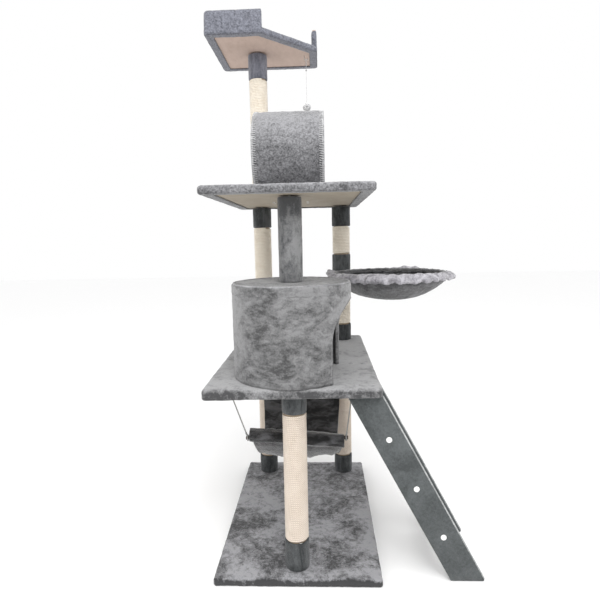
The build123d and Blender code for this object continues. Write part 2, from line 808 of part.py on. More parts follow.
def toy():
    wire = toy_hook_wire / 2
    left, right = toy_x - toy_hook_half_span, toy_x + toy_hook_half_span
    board_underside = perch_bottom + pile
    hook = upright((left, toy_y), toy_bar_level, board_underside, wire)
    hook += along_x(toy_y, toy_bar_level, left, right, wire)
    hook += upright((right, toy_y), toy_bar_level, toy_bar_level + toy_hook_drop / 2, wire)
    hook += Pos(left, toy_y, toy_bar_level) * Sphere(wire)
    hook += Pos(right, toy_y, toy_bar_level) * Sphere(wire)
    save("toy_hook", hook)

    # A long loop in the YZ plane: its upper end rides on the hook's bar.
    cord = toy_loop_wire / 2
    bend = wire + toy_link_clearance + cord
    lower_centre = toy_bar_level - toy_loop_length
    upper_ring = Pos(toy_x, toy_y, toy_bar_level) * Rot(0, 90, 0) * Torus(bend, cord)
    lower_ring = Pos(toy_x, toy_y, lower_centre) * Rot(0, 90, 0) * Torus(bend, cord)
    reach = bend + cord
    cap = block(toy_x - cord, toy_x + cord, toy_y - reach, toy_y + reach,
                toy_bar_level, toy_bar_level + reach)
    cup = block(toy_x - cord, toy_x + cord, toy_y - reach, toy_y + reach,
                lower_centre - reach, lower_centre)
    sides = [upright((toy_x, toy_y + bend * side), lower_centre, toy_bar_level, cord)
             for side in (-1, 1)]
    save("toy_loop", (upper_ring & cap) + (lower_ring & cup) + sides[0] + sides[1])

    # The string is tied round the loop's lowest strand, which runs along Y.
    tie_level = lower_centre - bend
    string = toy_string_diameter / 2
    tie_radius = cord + toy_link_clearance + string
    tie = Pos(toy_x, toy_y, tie_level) * Rot(90, 0, 0) * Torus(tie_radius, string)
    ball_centre = toy_bar_level - toy_ball_centre
    ball_top = ball_centre + toy_ball_radius
    line = upright((toy_x, toy_y), ball_top - toy_string_grip, tie_level - tie_radius, string)
    ball = Pos(toy_x, toy_y, ball_centre) * Sphere(toy_ball_radius)
    save("toy_tie", tie)
    save("toy_string", line)
    save("toy_ball", ball - line)
    print(f"toy string, straight: {tie_level - tie_radius - ball_top + toy_string_grip:.1f} mm")


os.makedirs("parts", exist_ok=True)
base()
lower_deck()
upper_deck()
posts()
fasteners()
round_house()
tunnel()
perch()
ladder()
hammock()
basket()
toy()
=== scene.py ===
# %% [markdown]
# # A cat tree, dressed
#
# The boards, posts, hooks and screws of this cat tree were designed as solids, each with its own name, and
# packed as a frame that can move. This lesson dresses that frame: plush drawn over the decks, sisal rope
# wound on the posts, a round house, a barrel tunnel, a walled perch, a hammock on cords, a gathered basket
# on its ring and a toy on a string. Everything is in metres, and every place is read from the frame.

# %% Load the frame
import json
import math

import bmesh
import bpy
import numpy as np
from mathutils import Matrix, Vector, noise


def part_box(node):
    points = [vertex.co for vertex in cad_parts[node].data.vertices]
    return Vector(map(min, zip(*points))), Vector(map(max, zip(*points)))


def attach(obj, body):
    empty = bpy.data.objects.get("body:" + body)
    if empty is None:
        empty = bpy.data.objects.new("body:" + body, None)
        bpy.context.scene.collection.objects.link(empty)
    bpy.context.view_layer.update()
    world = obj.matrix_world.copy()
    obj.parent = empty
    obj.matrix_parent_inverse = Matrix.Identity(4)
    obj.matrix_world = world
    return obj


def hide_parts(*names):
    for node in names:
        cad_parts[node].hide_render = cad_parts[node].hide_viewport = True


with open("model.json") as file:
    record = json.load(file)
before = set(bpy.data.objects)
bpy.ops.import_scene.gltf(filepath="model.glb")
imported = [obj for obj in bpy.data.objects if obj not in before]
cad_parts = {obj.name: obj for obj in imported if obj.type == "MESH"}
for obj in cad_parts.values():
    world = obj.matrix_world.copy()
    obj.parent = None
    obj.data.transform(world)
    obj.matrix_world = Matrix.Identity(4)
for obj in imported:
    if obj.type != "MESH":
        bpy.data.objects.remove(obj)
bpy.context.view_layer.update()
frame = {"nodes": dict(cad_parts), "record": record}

mm = 0.001

# %% [markdown]
# ## The camera
#
# A tall thing seen whole from close by looks wide at the bottom and narrow at the top. The camera stands a
# little above the lower deck, looks slightly down and leans by about a degree, and its lens is a mild wide
# angle. The three turns are given as yaw, pitch and roll, and the matrix is put together from its three
# directions, because that is easier to check than Euler angles.

# %% Camera
camera_place = Vector((0.0826, -1.7363, 1.0217))
camera_yaw, camera_pitch, camera_roll = 0.0444, 0.1235, 0.0206
lens_mm = 29.76

ahead = Vector((-math.sin(camera_yaw) * math.cos(camera_pitch),
                math.cos(camera_yaw) * math.cos(camera_pitch), -math.sin(camera_pitch)))
level_right = Vector((math.cos(camera_yaw), math.sin(camera_yaw), 0))
level_up = level_right.cross(ahead)
right = level_right * math.cos(camera_roll) - level_up * math.sin(camera_roll)
up = level_right * math.sin(camera_roll) + level_up * math.cos(camera_roll)
turn = Matrix((right, up, -ahead)).transposed().to_4x4()

camera = bpy.data.objects.new("camera", bpy.data.cameras.new("camera"))
camera.data.sensor_width = 36
camera.data.lens = lens_mm
camera.matrix_world = Matrix.Translation(camera_place) @ turn
bpy.context.scene.collection.objects.link(camera)
bpy.context.scene.camera = camera
print("camera looks along", [round(v, 3) for v in ahead])

# %% [markdown]
# ## Floor and light
#
# Plush shows its shape through soft shading, so the light is a white surround with three soft panels.
# The large one is above and in front, a weak one is at the left, and a small one high in front reaches
# the perch. The floor is pale and plain, and it throws light back up on the bare undersides.

# %% Floor and light
def add_panel_light(name, place, aim, size, power):
    lamp = bpy.data.lights.new(name, "AREA")
    lamp.shape = "DISK"
    lamp.size = size
    lamp.energy = power
    holder = bpy.data.objects.new(name, lamp)
    holder.location = place
    holder.rotation_euler = (Vector(aim) - Vector(place)).to_track_quat("-Z", "Y").to_euler()
    bpy.context.scene.collection.objects.link(holder)


surround = bpy.data.worlds.new("white surround")
surround.use_nodes = True
surround.node_tree.nodes["Background"].inputs["Color"].default_value = (1, 1, 1, 1)
surround.node_tree.nodes["Background"].inputs["Strength"].default_value = 1.0
bpy.context.scene.world = surround
bpy.context.scene.view_settings.view_transform = "Standard"
add_panel_light("overhead panel", (0.6, -1.6, 3.6), (0, 0, 0.9), 2.2, 48)
add_panel_light("left panel", (-2.4, -1.4, 1.6), (0, 0, 0.9), 1.6, 12)
add_panel_light("high front panel", (0.4, -1.9, 2.1), (0, 0.1, 1.6), 1.0, 17)

floor_half = 12.0
floor_mesh = bpy.data.meshes.new("floor")
floor_mesh.from_pydata([(-floor_half, -floor_half, 0), (floor_half, -floor_half, 0),
                        (floor_half, floor_half, 0), (-floor_half, floor_half, 0)], [], [(0, 1, 2, 3)])
floor = bpy.data.objects.new("floor", floor_mesh)
bpy.context.scene.collection.objects.link(floor)
floor_finish = bpy.data.materials.new("pale floor")
floor_finish.use_nodes = True
floor_finish.node_tree.nodes["Principled BSDF"].inputs["Base Color"].default_value = (0.97, 0.97, 0.97, 1)
floor_finish.node_tree.nodes["Principled BSDF"].inputs["Roughness"].default_value = 0.9
floor_mesh.materials.append(floor_finish)

# %% [markdown]
# ## How the finishes are made
#
# Every finish here is a pattern worked out from the place on the piece, so it needs no picture and no
# unwrapping. A small helper keeps the node wiring short: it holds a material, adds nodes by name and
# joins them. Values that are the same all over go straight on the shader.

# %% A helper for finishes
class Finish:
    """One material and short ways to add nodes to it."""

    def __init__(self, name, roughness=0.9, sheen=0.0, metallic=0.0):
        self.material = bpy.data.materials.new(name)
        self.material.use_nodes = True
        self.tree = self.material.node_tree
        self.shader = self.tree.nodes["Principled BSDF"]
        self.shader.inputs["Roughness"].default_value = roughness
        self.shader.inputs["Metallic"].default_value = metallic
        if sheen:
            self.shader.inputs["Sheen Weight"].default_value = sheen
            self.shader.inputs["Sheen Roughness"].default_value = 0.45
        self.place = self.add("ShaderNodeTexCoord").outputs["Object"]

    def add(self, kind, **values):
        node = self.tree.nodes.new(kind)
        for name, value in values.items():
            setattr(node, name, value)
        return node

    def join(self, output, target):
        self.tree.links.new(output, target)

    def stretched(self, scale, source=None):
        """The place on the piece, scaled by three numbers."""
        mapping = self.add("ShaderNodeMapping")
        mapping.inputs["Scale"].default_value = scale
        self.join(source or self.place, mapping.inputs["Vector"])
        return mapping.outputs["Vector"]

    def speckle(self, size, detail=3.0, twist=0.0, stretch=(1, 1, 1), rough=0.5):
        """Cloudy noise whose lumps are about size metres wide."""
        clouds = self.add("ShaderNodeTexNoise")
        clouds.inputs["Scale"].default_value = 1 / size
        clouds.inputs["Detail"].default_value = detail
        clouds.inputs["Roughness"].default_value = rough
        clouds.inputs["Distortion"].default_value = twist
        self.join(self.stretched(stretch), clouds.inputs["Vector"])
        return clouds.outputs["Fac"]

    def math(self, operation, first, second):
        """One sum on two values, each a node's output or a number."""
        node = self.add("ShaderNodeMath", operation=operation)
        for socket, value in zip(node.inputs, (first, second)):
            if isinstance(value, (int, float)):
                socket.default_value = value
            else:
                self.join(value, socket)
        return node.outputs[0]

    def blend(self, *weighted):
        """A weighted sum of (value, weight) pairs."""
        total = None
        for value, weight in weighted:
            part = self.math("MULTIPLY", value, weight)
            total = part if total is None else self.math("ADD", total, part)
        return total

    def colours(self, value, stops):
        """Colours along a value: stops are (position, (r, g, b))."""
        ramp = self.add("ShaderNodeValToRGB")
        while len(ramp.color_ramp.elements) < len(stops):
            ramp.color_ramp.elements.new(0.5)
        for element, (position, colour) in zip(ramp.color_ramp.elements, stops):
            element.position = position
            element.color = (*colour, 1)
        self.join(value, ramp.inputs["Fac"])
        return ramp.outputs["Color"]

    def paint(self, colour):
        self.join(colour, self.shader.inputs["Base Color"])

    def bump(self, height, depth, strength=1.0):
        """Small relief, depth in metres."""
        node = self.add("ShaderNodeBump")
        node.inputs["Strength"].default_value = strength
        node.inputs["Distance"].default_value = depth
        self.join(height, node.inputs["Height"])
        self.join(node.outputs["Normal"], self.shader.inputs["Normal"])


# %% [markdown]
# ## Plush
#
# Plush is a knit with short standing fibres. Where the fibres lean one way the cloth looks dark, and where
# they lean the other way it looks light, so brushing and pressing leave cloudy patches with soft edges. The
# colour here is three noises added up: wide clouds for pressed areas, tufts a few centimetres wide, and
# single fibres. On some cloths painted light is added to faces that point up, and a painted highlight to
# faces that point sideways. The tufts and fibres also make the relief, and sheen lights the rim of every
# round edge.

# %% Plush finishes
def plush(name, dark, light, patch=0.13, tuft=0.018, fibre=0.0045, stretch=(1, 1, 1), sheen=0.3,
          weights=(0.50, 0.30, 0.20), spread=0.085, top=0.0, side=0.0, shift=0.0, dark_above=None):
    """Cloth with a standing pile. dark and light are its colour leaning one way and the other.
    top paints light on what faces up, as if lit from above, and side paints a highlight on what faces left
    or right. shift makes all of it darker. dark_above is a pair of heights between which the cloth turns
    dark."""
    finish = Finish(name, roughness=0.95, sheen=sheen)
    clouds = finish.speckle(patch, detail=5, twist=0.9, stretch=stretch, rough=0.62)
    tufts = finish.speckle(tuft, detail=4, twist=0.5, stretch=stretch, rough=0.6)
    fibres = finish.speckle(fibre, detail=3, rough=0.7)
    shade = finish.blend((clouds, weights[0]), (tufts, weights[1]), (fibres, weights[2]))
    # Painted light: faces that point up are made lighter, where light from above falls, and faces that point
    # left or right get a painted highlight.
    if top or side:
        facing = finish.add("ShaderNodeSeparateXYZ")
        finish.join(finish.add("ShaderNodeTexCoord").outputs["Normal"], facing.inputs["Vector"])
        upward = finish.math("MAXIMUM", facing.outputs["Z"], 0)
        sideways = finish.math("POWER", finish.math("ABSOLUTE", facing.outputs["X"], 0), 4)
        shade = finish.math("ADD", shade, finish.blend((upward, top), (sideways, side)))
    if dark_above:
        low, high = dark_above
        height = finish.add("ShaderNodeSeparateXYZ")
        finish.join(finish.place, height.inputs["Vector"])
        climb = finish.math("DIVIDE", finish.math("SUBTRACT", height.outputs["Z"], low), high - low)
        climb = finish.math("MINIMUM", finish.math("MAXIMUM", climb, 0), 1)
        shade = finish.math("SUBTRACT", shade, finish.math("MULTIPLY", climb, 0.12))
    middle = tuple((a + b) / 2 for a, b in zip(dark, light))
    centre = 0.5 + shift
    stops = [(centre - spread, dark), (centre, middle), (centre + spread, light)]
    finish.paint(finish.colours(shade, stops))
    finish.bump(finish.blend((tufts, 0.45), (fibres, 0.55)), 0.005, 0.6)
    return finish.material


# top paints light on the upward faces of these covers, and the wall's side paints a highlight on its left
# and right edges.
base_plush = plush("grey plush on the base", (0.040, 0.040, 0.042), (0.31, 0.31, 0.325), patch=0.15,
                   spread=0.065, top=0.15, shift=0.135)
deck_plush = plush("grey plush on the lower deck", (0.052, 0.052, 0.054), (0.30, 0.30, 0.305), patch=0.10,
                   top=0.135, weights=(0.42, 0.32, 0.26), shift=0.06)
wall_plush = plush("grey plush on the walls", (0.050, 0.050, 0.051), (0.215, 0.215, 0.218), patch=0.11,
                   stretch=(1, 1, 1.7), side=0.11)
# The rim plush is painted light, as the highlight on the roof's top edge.
rim_highlight_plush = plush("plush painted light for the roof rim highlight", (0.15, 0.15, 0.155), (0.33, 0.33, 0.34), patch=0.05)
curly_plush = plush("curly grey plush", (0.060, 0.060, 0.063), (0.27, 0.27, 0.282), patch=0.09,
                    tuft=0.010, fibre=0.0050, weights=(0.27, 0.34, 0.39), spread=0.11, top=0.10, shift=0.02)
perch_plush = plush("curly plush on the perch", (0.070, 0.073, 0.088), (0.20, 0.207, 0.245), patch=0.06,
                    tuft=0.010, fibre=0.0050, weights=(0.14, 0.40, 0.46), spread=0.11)
dark_sleeve_plush = plush("dark sleeve plush", (0.020, 0.023, 0.024), (0.085, 0.09, 0.093), patch=0.05,
                          tuft=0.012, stretch=(1, 1, 0.35), sheen=0.2)
pale_sleeve_plush = plush("violet grey sleeve plush", (0.080, 0.085, 0.105), (0.215, 0.22, 0.26), patch=0.05,
                          tuft=0.012, stretch=(1, 1, 0.35), sheen=0.25)
rail_felt = plush("dark felt on the ladder", (0.048, 0.054, 0.055), (0.105, 0.115, 0.118), patch=0.11,
                  tuft=0.008, fibre=0.003, sheen=0.3, spread=0.10)
# Painted highlight: the rails' upper slanting edges are painted pale.
rail_edge_highlight_felt = plush("felt painted light for the ladder edge highlight", (0.24, 0.25, 0.25), (0.50, 0.51, 0.51), patch=0.05,
                       tuft=0.008)
hammock_plush = plush("dark long plush", (0.002, 0.002, 0.0025), (0.085, 0.085, 0.09), patch=0.05,
                      tuft=0.016, stretch=(0.5, 1, 1), sheen=0.7, spread=0.075, weights=(0.6, 0.3, 0.1),
                      shift=0.018)
pouch_plush = plush("basket plush", (0.036, 0.036, 0.038), (0.16, 0.16, 0.165), patch=0.07, tuft=0.014)
frill_plush = plush("basket frill plush", (0.13, 0.125, 0.138), (0.42, 0.41, 0.44), patch=0.04,
                    tuft=0.012, sheen=0.5)
binding_tape = plush("edge binding", (0.15, 0.15, 0.155), (0.40, 0.40, 0.41), patch=0.04, tuft=0.006,
                     sheen=0.3)
stitch_thread = plush("pale thread", (0.36, 0.36, 0.37), (0.78, 0.78, 0.78), patch=0.02, tuft=0.004)
# Painted shade: the inside of the house drum is painted near black for the shade in it.
house_inside_painted_shade = plush("painted shade inside the house", (0.012, 0.012, 0.013), (0.05, 0.05, 0.052), patch=0.05, tuft=0.01)
print("plush finishes:", len([m for m in bpy.data.materials if "plush" in m.name]))

# %% [markdown]
# ## Sisal rope, board, card, wood, cord, metal and plastic
#
# Sisal rope is three strands twisted together, cream with a few darker fibres. Each rope mesh carries its
# own coordinates, round the rope and along it, so the strands follow the rope wherever it goes. The bare
# undersides are pressed board: fine chips in close colours. Screws and hooks are zinc plated steel with
# faint scratches, and the caps on the ladder are matt white plastic.

# %% Rope and cord finishes
def twisted(name, dark, light, strands, lay, depth, sheen=0.15):
    """Rope or cord: strands turn round it once in each lay length. Uses the piece's own coordinates."""
    finish = Finish(name, roughness=0.9, sheen=sheen)
    own = finish.add("ShaderNodeUVMap").outputs["UV"]
    split = finish.add("ShaderNodeSeparateXYZ")
    finish.join(own, split.inputs["Vector"])
    angle = finish.blend((split.outputs["X"], strands * 2 * math.pi),
                         (split.outputs["Y"], strands * 2 * math.pi / lay))
    ridge = finish.math("ABSOLUTE", finish.math("SINE", finish.math("MULTIPLY", angle, 0.5), 0), 0)
    fibres = finish.speckle(0.0016, detail=3, stretch=(1, 1, 1))
    stains = finish.speckle(0.035, detail=4, twist=0.5)
    shade = finish.blend((ridge, 0.35), (fibres, 0.3), (stains, 0.35))
    finish.paint(finish.colours(shade, [(0.3, dark), (0.62, light)]))
    finish.bump(finish.blend((ridge, 0.8), (fibres, 0.2)), depth, 0.8)
    return finish.material


sisal = twisted("sisal rope", (0.50, 0.41, 0.32), (0.79, 0.70, 0.61), 3, 0.016, 0.0012)
# The upper posts' rope is the same sisal painted brighter: painted light for the light that reaches them.
sisal_painted_brighter = twisted("sisal rope painted brighter", (0.74, 0.63, 0.49), (0.99, 0.93, 0.82), 3, 0.016, 0.0012)
grey_cord = twisted("hammock cord", (0.16, 0.16, 0.155), (0.42, 0.42, 0.41), 3, 0.010, 0.0006)
white_cord = twisted("pale toy cord", (0.34, 0.34, 0.34), (0.66, 0.66, 0.66), 2, 0.005, 0.0003)


# %% [markdown]
# Board, wood, metal and plastic are simpler: one or two noises for the colour, and a very shallow relief.

# %% Board, wood, metal and plastic finishes
def grained(name, dark, light, grain, stretch, relief):
    """Board or wood: noise drawn out along the grain."""
    finish = Finish(name, roughness=0.75)
    streaks = finish.speckle(grain, detail=5, twist=0.6, stretch=stretch)
    chips = finish.speckle(0.0025, detail=2)
    clouds = finish.speckle(0.12, detail=3)
    shade = finish.blend((streaks, 0.4), (chips, 0.35), (clouds, 0.25))
    finish.paint(finish.colours(shade, [(0.35, dark), (0.65, light)]))
    finish.bump(finish.blend((streaks, 0.5), (chips, 0.5)), relief, 0.4)
    return finish.material


def metal(name, colour):
    finish = Finish(name, roughness=0.34, metallic=1.0)
    scratches = finish.speckle(0.0012, detail=2, stretch=(1, 1, 0.15))
    tarnish = finish.speckle(0.012, detail=4)
    shade = finish.blend((scratches, 0.4), (tarnish, 0.6))
    finish.paint(finish.colours(shade, [(0.3, tuple(c * 0.72 for c in colour)), (0.7, colour)]))
    finish.bump(scratches, 0.0002, 0.3)
    return finish.material


def plastic(name, dark, light):
    finish = Finish(name, roughness=0.42)
    clouds = finish.speckle(0.006, detail=3)
    finish.paint(finish.colours(clouds, [(0.3, dark), (0.7, light)]))
    finish.bump(finish.speckle(0.0007, detail=2), 0.0001, 0.3)
    return finish.material


along_board = (1, 0.4, 1)
pressed_board = grained("pressed board", (0.31, 0.26, 0.195), (0.39, 0.34, 0.265), 0.02, along_board, 0.0006)
perch_wood = grained("perch board", (0.42, 0.315, 0.26), (0.53, 0.41, 0.35), 0.02, along_board, 0.0006)
grey_card = grained("post card", (0.34, 0.26, 0.17), (0.52, 0.41, 0.29), 0.01, (1, 1, 3), 0.0005)
rod_wood = grained("dark rod wood", (0.035, 0.028, 0.022), (0.085, 0.066, 0.05), 0.008, (0.08, 1, 1), 0.0004)
zinc = metal("zinc plated steel", (0.72, 0.72, 0.70))
cap_plastic = plastic("white cap plastic", (0.78, 0.78, 0.76), (0.90, 0.90, 0.89))
fluff = plush("toy fluff", (0.45, 0.45, 0.46), (0.97, 0.97, 0.97), patch=0.012, tuft=0.006, sheen=0.6)

# %% [markdown]
# ## Building meshes from nets
#
# Almost every soft piece is a net: rows and columns of points, joined by four-sided faces. A tube is a net
# that closes on itself one way, a ring closes both ways, and a panel can start or end in a single point.
# One helper turns a net into a piece. Two more make it cloth: one adds thickness, and one raises and lowers
# the surface a little, the way pile does when it has been pressed.

# %% Net helpers
def make_piece(name, points, faces, finish, body, slot=None, stands_for=(), coordinates=None):
    """A mesh piece that rides on a body, with its faces turned outwards."""
    mesh = bpy.data.meshes.new(name)
    mesh.from_pydata([tuple(p) for p in points], [], faces)
    shape = bmesh.new()
    shape.from_mesh(mesh)
    bmesh.ops.recalc_face_normals(shape, faces=shape.faces)
    shape.to_mesh(mesh)
    shape.free()
    mesh.polygons.foreach_set("use_smooth", [True] * len(faces))
    if coordinates is not None:
        layer = mesh.uv_layers.new(name="own")
        corners = [corner.vertex_index for corner in mesh.loops]
        layer.data.foreach_set("uv", np.array(coordinates, np.float32)[corners].ravel())
    mesh.materials.append(finish)
    piece = bpy.data.objects.new(name, mesh)
    bpy.context.scene.collection.objects.link(piece)
    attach(piece, body)
    if stands_for:
        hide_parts(*stands_for)
    return piece


def net_faces(rows, cols, wrap_rows=False, wrap_cols=False, first=0):
    faces = []
    for i in range(rows if wrap_rows else rows - 1):
        for j in range(cols if wrap_cols else cols - 1):
            k, l = (i + 1) % rows, (j + 1) % cols
            faces.append((first + i * cols + j, first + i * cols + l,
                          first + k * cols + l, first + k * cols + j))
    return faces


def net_piece(name, net, finish, body, wrap_rows=False, wrap_cols=False, caps=False, poles=(None, None),
              **more):
    """A piece from an array of rows and columns of points. Poles close the first and last row."""
    net = np.asarray(net, float)
    rows, cols = net.shape[:2]
    points = list(net.reshape(-1, 3))
    faces = net_faces(rows, cols, wrap_rows, wrap_cols)
    last = (rows - 1) * cols
    if caps:
        faces += end_faces(0, rows, cols)
    for pole, start in zip(poles, (0, last)):
        if pole is not None:
            points.append(pole)
            tip = len(points) - 1
            for j in range(cols):
                pair = (start + j, start + (j + 1) % cols)
                faces.append((tip, *reversed(pair)) if start == 0 else (tip, *pair))
    return make_piece(name, points, faces, finish, body, **more)


def thicken(piece, thickness):
    """Gives a single sheet its thickness, half to each side."""
    solid = piece.modifiers.new("thickness", "SOLIDIFY")
    solid.thickness = thickness
    solid.offset = 0
    return piece


def press_pile(piece, *waves):
    """Raises and lowers the surface by cloudy noise. Each wave is its height in all and the width of its
    lumps, in millimetres."""
    for height, width in waves:
        name = f"pile {width:.0f} mm"
        clouds = bpy.data.textures.get(name) or bpy.data.textures.new(name, "CLOUDS")
        clouds.noise_scale = width * mm
        clouds.noise_depth = 2
        wave = piece.modifiers.new(name, "DISPLACE")
        wave.texture = clouds
        wave.strength = height * mm
        wave.mid_level = 0.5
    return piece


def lumps(point, size, seed=0.0):
    """Smooth noise from -1 to 1 at a place."""
    return noise.noise(Vector(point) / size + Vector((seed, seed * 1.7, -seed)))


def box_of(node):
    """A CAD node's box as six numbers: x0, x1, y0, y1, z0, z1."""
    low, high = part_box(node)
    return low.x, high.x, low.y, high.y, low.z, high.z


def middle_of(box):
    """The middle of a box, seen from above."""
    return np.array(((box[0] + box[1]) / 2, (box[2] + box[3]) / 2))


def circle(count):
    """Even directions round a circle, seen from above."""
    angles = np.linspace(0, 2 * math.pi, count, endpoint=False)
    return np.stack([np.cos(angles), np.sin(angles)], axis=1)


def around_line(middle, side, other, radius, count):
    """Points round a line: a circle about its middle, in the plane of two square directions."""
    turns = [2 * math.pi * k / count for k in range(count)]
    return [middle + side * radius * math.cos(turn) + other * radius * math.sin(turn) for turn in turns]


def end_faces(first, rows, cols):
    """The two flat faces that close a tube whose points start at first."""
    last = first + (rows - 1) * cols
    return [tuple(reversed(range(first, first + cols))), tuple(range(last, last + cols))]


# %% [markdown]
# ## The cords
#
# The hammock hangs on four cords, from hooks under the lower deck to the ends of its two rods. They carry
# its weight, so each is one straight run. The toy hangs on one thin string. A cord is a curve with a round
# section, and the length of each hammock cord is printed. It ends in two tied loops,
# one round its hook and one round its rod. Each loop is a piece of its own, with the whipping that ties it.

# %% Cords
cord_diameter = 4 * mm
string_diameter = 1.6 * mm


def straight_cord(name, start, end, diameter, finish, body, node):
    """A taut cord as a NURBS curve of two points."""
    curve = bpy.data.curves.new(name, "CURVE")
    curve.dimensions = "3D"
    spline = curve.splines.new("NURBS")
    spline.points.add(1)
    for knot, place in zip(spline.points, (start, end)):
        knot.co = (*place, 1)
    spline.order_u = 3
    spline.use_endpoint_u = True
    curve.bevel_depth = diameter / 2
    curve.bevel_resolution = 3
    curve.materials.append(finish)
    piece = bpy.data.objects.new(name, curve)
    bpy.context.scene.collection.objects.link(piece)
    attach(piece, body)
    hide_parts(node)
    return piece


def cord_ends(node, diameter):
    """The two ends of a slanting cord, from its node's box. It hangs in a plane of one depth."""
    x0, x1, y0, y1, z0, z1 = box_of(node)
    y = (y0 + y1) / 2
    lean = math.atan2(x1 - x0, z1 - z0)
    # The box holds the flat ends too, so it is wider and taller than the middle line.
    inset_x, inset_z = diameter / 2 * math.cos(lean), diameter / 2 * math.sin(lean)
    return y, (x0 + inset_x, x1 - inset_x), (z0 + inset_z, z1 - inset_z)


def tied_loop(name, centre, radius, toward, finish, body, node):
    """A loop of cord round a bar that runs along X, and the whipping where it is tied to its cord."""
    points, own, faces = [], [], []
    thread = cord_diameter / 2
    steps, around = 36, 8
    centre, along_bar = np.array(centre), np.array((1, 0, 0))
    for s in range(steps):
        angle = 2 * math.pi * s / steps
        out = np.array((0, math.cos(angle), math.sin(angle)))
        points += around_line(centre + out * radius, out, along_bar, thread, around)
        own += [(c / around, radius * angle) for c in range(around)]
    faces += net_faces(steps, around, wrap_rows=True, wrap_cols=True)
    # The whipping is four turns of cord beside each other, drawn as one ridged collar.
    way = np.array(toward, float) / np.linalg.norm(toward)
    side = np.cross(way, (0, 1, 0))
    side /= np.linalg.norm(side)
    other = np.cross(way, side)
    first = len(points)
    rows, cols = 25, 12
    for r in range(rows):
        share = r / (rows - 1)
        width = thread * (1.18 + 0.42 * abs(math.sin(4 * math.pi * share)))
        width = thread * 0.6 if r in (0, rows - 1) else width
        middle = centre + way * (radius + thread * 0.6 + 9 * mm * share)
        points += around_line(middle, side, other, width, cols)
        own += [(share * 2, 2 * math.pi * c / cols * width) for c in range(cols)]
    faces += net_faces(rows, cols, wrap_cols=True, first=first) + end_faces(first, rows, cols)
    return make_piece(name, points, faces, finish, body, slot="cord", stands_for=[node], coordinates=own)


# %% [markdown]
# Each cord's two ends come from its node's box, and the loops sit just past them. The bars that the loops go
# round are the hook's wire and the rod.

# %% Hang the hammock's cords
loop_clearance = 0.5 * mm
hook_wire, rod_wire = 4 * mm, 12 * mm

for row in ("front", "back"):
    for side in ("left", "right"):
        node, body = f"hammock_{row}_{side}_cord", f"hammock_{row}_cords"
        y, (x_low, x_high), (z_low, z_high) = cord_ends(node, cord_diameter)
        # The hooks are further out than the rods' loops, so both cords spread towards the top.
        top_x, foot_x = (x_low, x_high) if side == "left" else (x_high, x_low)
        top, foot = Vector((top_x, y, z_high)), Vector((foot_x, y, z_low))
        down = (foot - top).normalized()
        for place, bar, end, way in (("hook", hook_wire, top, -down), ("rod", rod_wire, foot, down)):
            reach = bar / 2 + loop_clearance + cord_diameter / 2
            tied_loop(f"hammock_{row}_{side}_{place}_loop", end + way * reach, reach, -way,
                                   grey_cord, body, f"hammock_{row}_loops")
        cord = straight_cord(f"{node}_line", top, foot, cord_diameter, grey_cord, body, node)
        print(cord.name, f"{(top - foot).length * 1000:.1f} mm")

# %% [markdown]
# ## The decks
#
# Each deck is a board with plush drawn over it, round the edges and a little way under, where it is stapled.
# The cover is built as one skin from the middle of the top outwards: rings that follow the deck's outline,
# round over the upper edge, run down the side, round under and stop at the turned-in border, so that the
# bare board shows below. A sheet that is thickened afterwards keeps its edge where it is stapled.

# %% Outlines and covered slabs
pile_thickness = 4 * mm
half_pile = pile_thickness / 2
deck_corner = 14 * mm
outline_spacing = 9 * mm


def rounded_outline(corners, radius, inset, spacing=outline_spacing, arc_steps=5):
    """Points round a straight-sided outline, drawn in by inset, with round corners.
    Every inset gives the same number of points, so rings of them join up."""
    corners = [np.array(c, float) for c in corners]
    count = len(corners)
    sides = [corners[(k + 1) % count] - corners[k] for k in range(count)]
    lengths = [np.linalg.norm(s) for s in sides]
    ways = [s / length for s, length in zip(sides, lengths)]
    inward = [np.array((-w[1], w[0])) for w in ways]
    bend = max(radius - inset, 0.5 * mm)
    starts, ends = [], []
    for k in range(count):
        before, after = inward[k - 1], inward[k]
        half_turn = math.acos(np.clip(before @ after, -1, 1)) / 2
        middle = (before + after) / np.linalg.norm(before + after)
        corner = corners[k] + middle * inset / math.cos(half_turn)
        centre = corner + middle * bend / math.cos(half_turn)
        starts.append((centre, math.atan2(-before[1], -before[0])))
        ends.append((centre, math.atan2(-after[1], -after[0])))
    points = []
    for k in range(count):
        centre, first = starts[k]
        last = ends[k][1]
        last += 2 * math.pi if last < first - 1e-9 else 0
        for step in range(arc_steps + 1):
            angle = first + (last - first) * step / arc_steps
            points.append(centre + bend * np.array((math.cos(angle), math.sin(angle))))
        next_centre, next_first = starts[(k + 1) % count]
        target = next_centre + bend * np.array((math.cos(next_first), math.sin(next_first)))
        steps = max(2, round(lengths[k] / spacing))
        here = points[-1]
        points += [here + (target - here) * s / steps for s in range(1, steps)]
    return np.array(points)


def edge_profile(z0, z1, top_round, bottom_round, border):
    """(inset, height) pairs from the top's edge, down the side and in along the underside."""
    rows = []
    for angle in np.radians((15, 35, 55, 75, 90)):
        rows.append((top_round * (1 - math.sin(angle)), z1 - top_round * (1 - math.cos(angle))))
    side = z1 - top_round - z0 - bottom_round
    side_steps = max(2, round(side / (7 * mm)))
    rows += [(0, z1 - top_round - side * step / side_steps) for step in range(1, side_steps)]
    for angle in np.radians((0, 25, 50, 75)):
        rows.append((bottom_round * (1 - math.cos(angle)), z0 + bottom_round * (1 - math.sin(angle))))
    rows += [(bottom_round + (border - bottom_round) * step / 5, z0) for step in range(6)]
    return rows


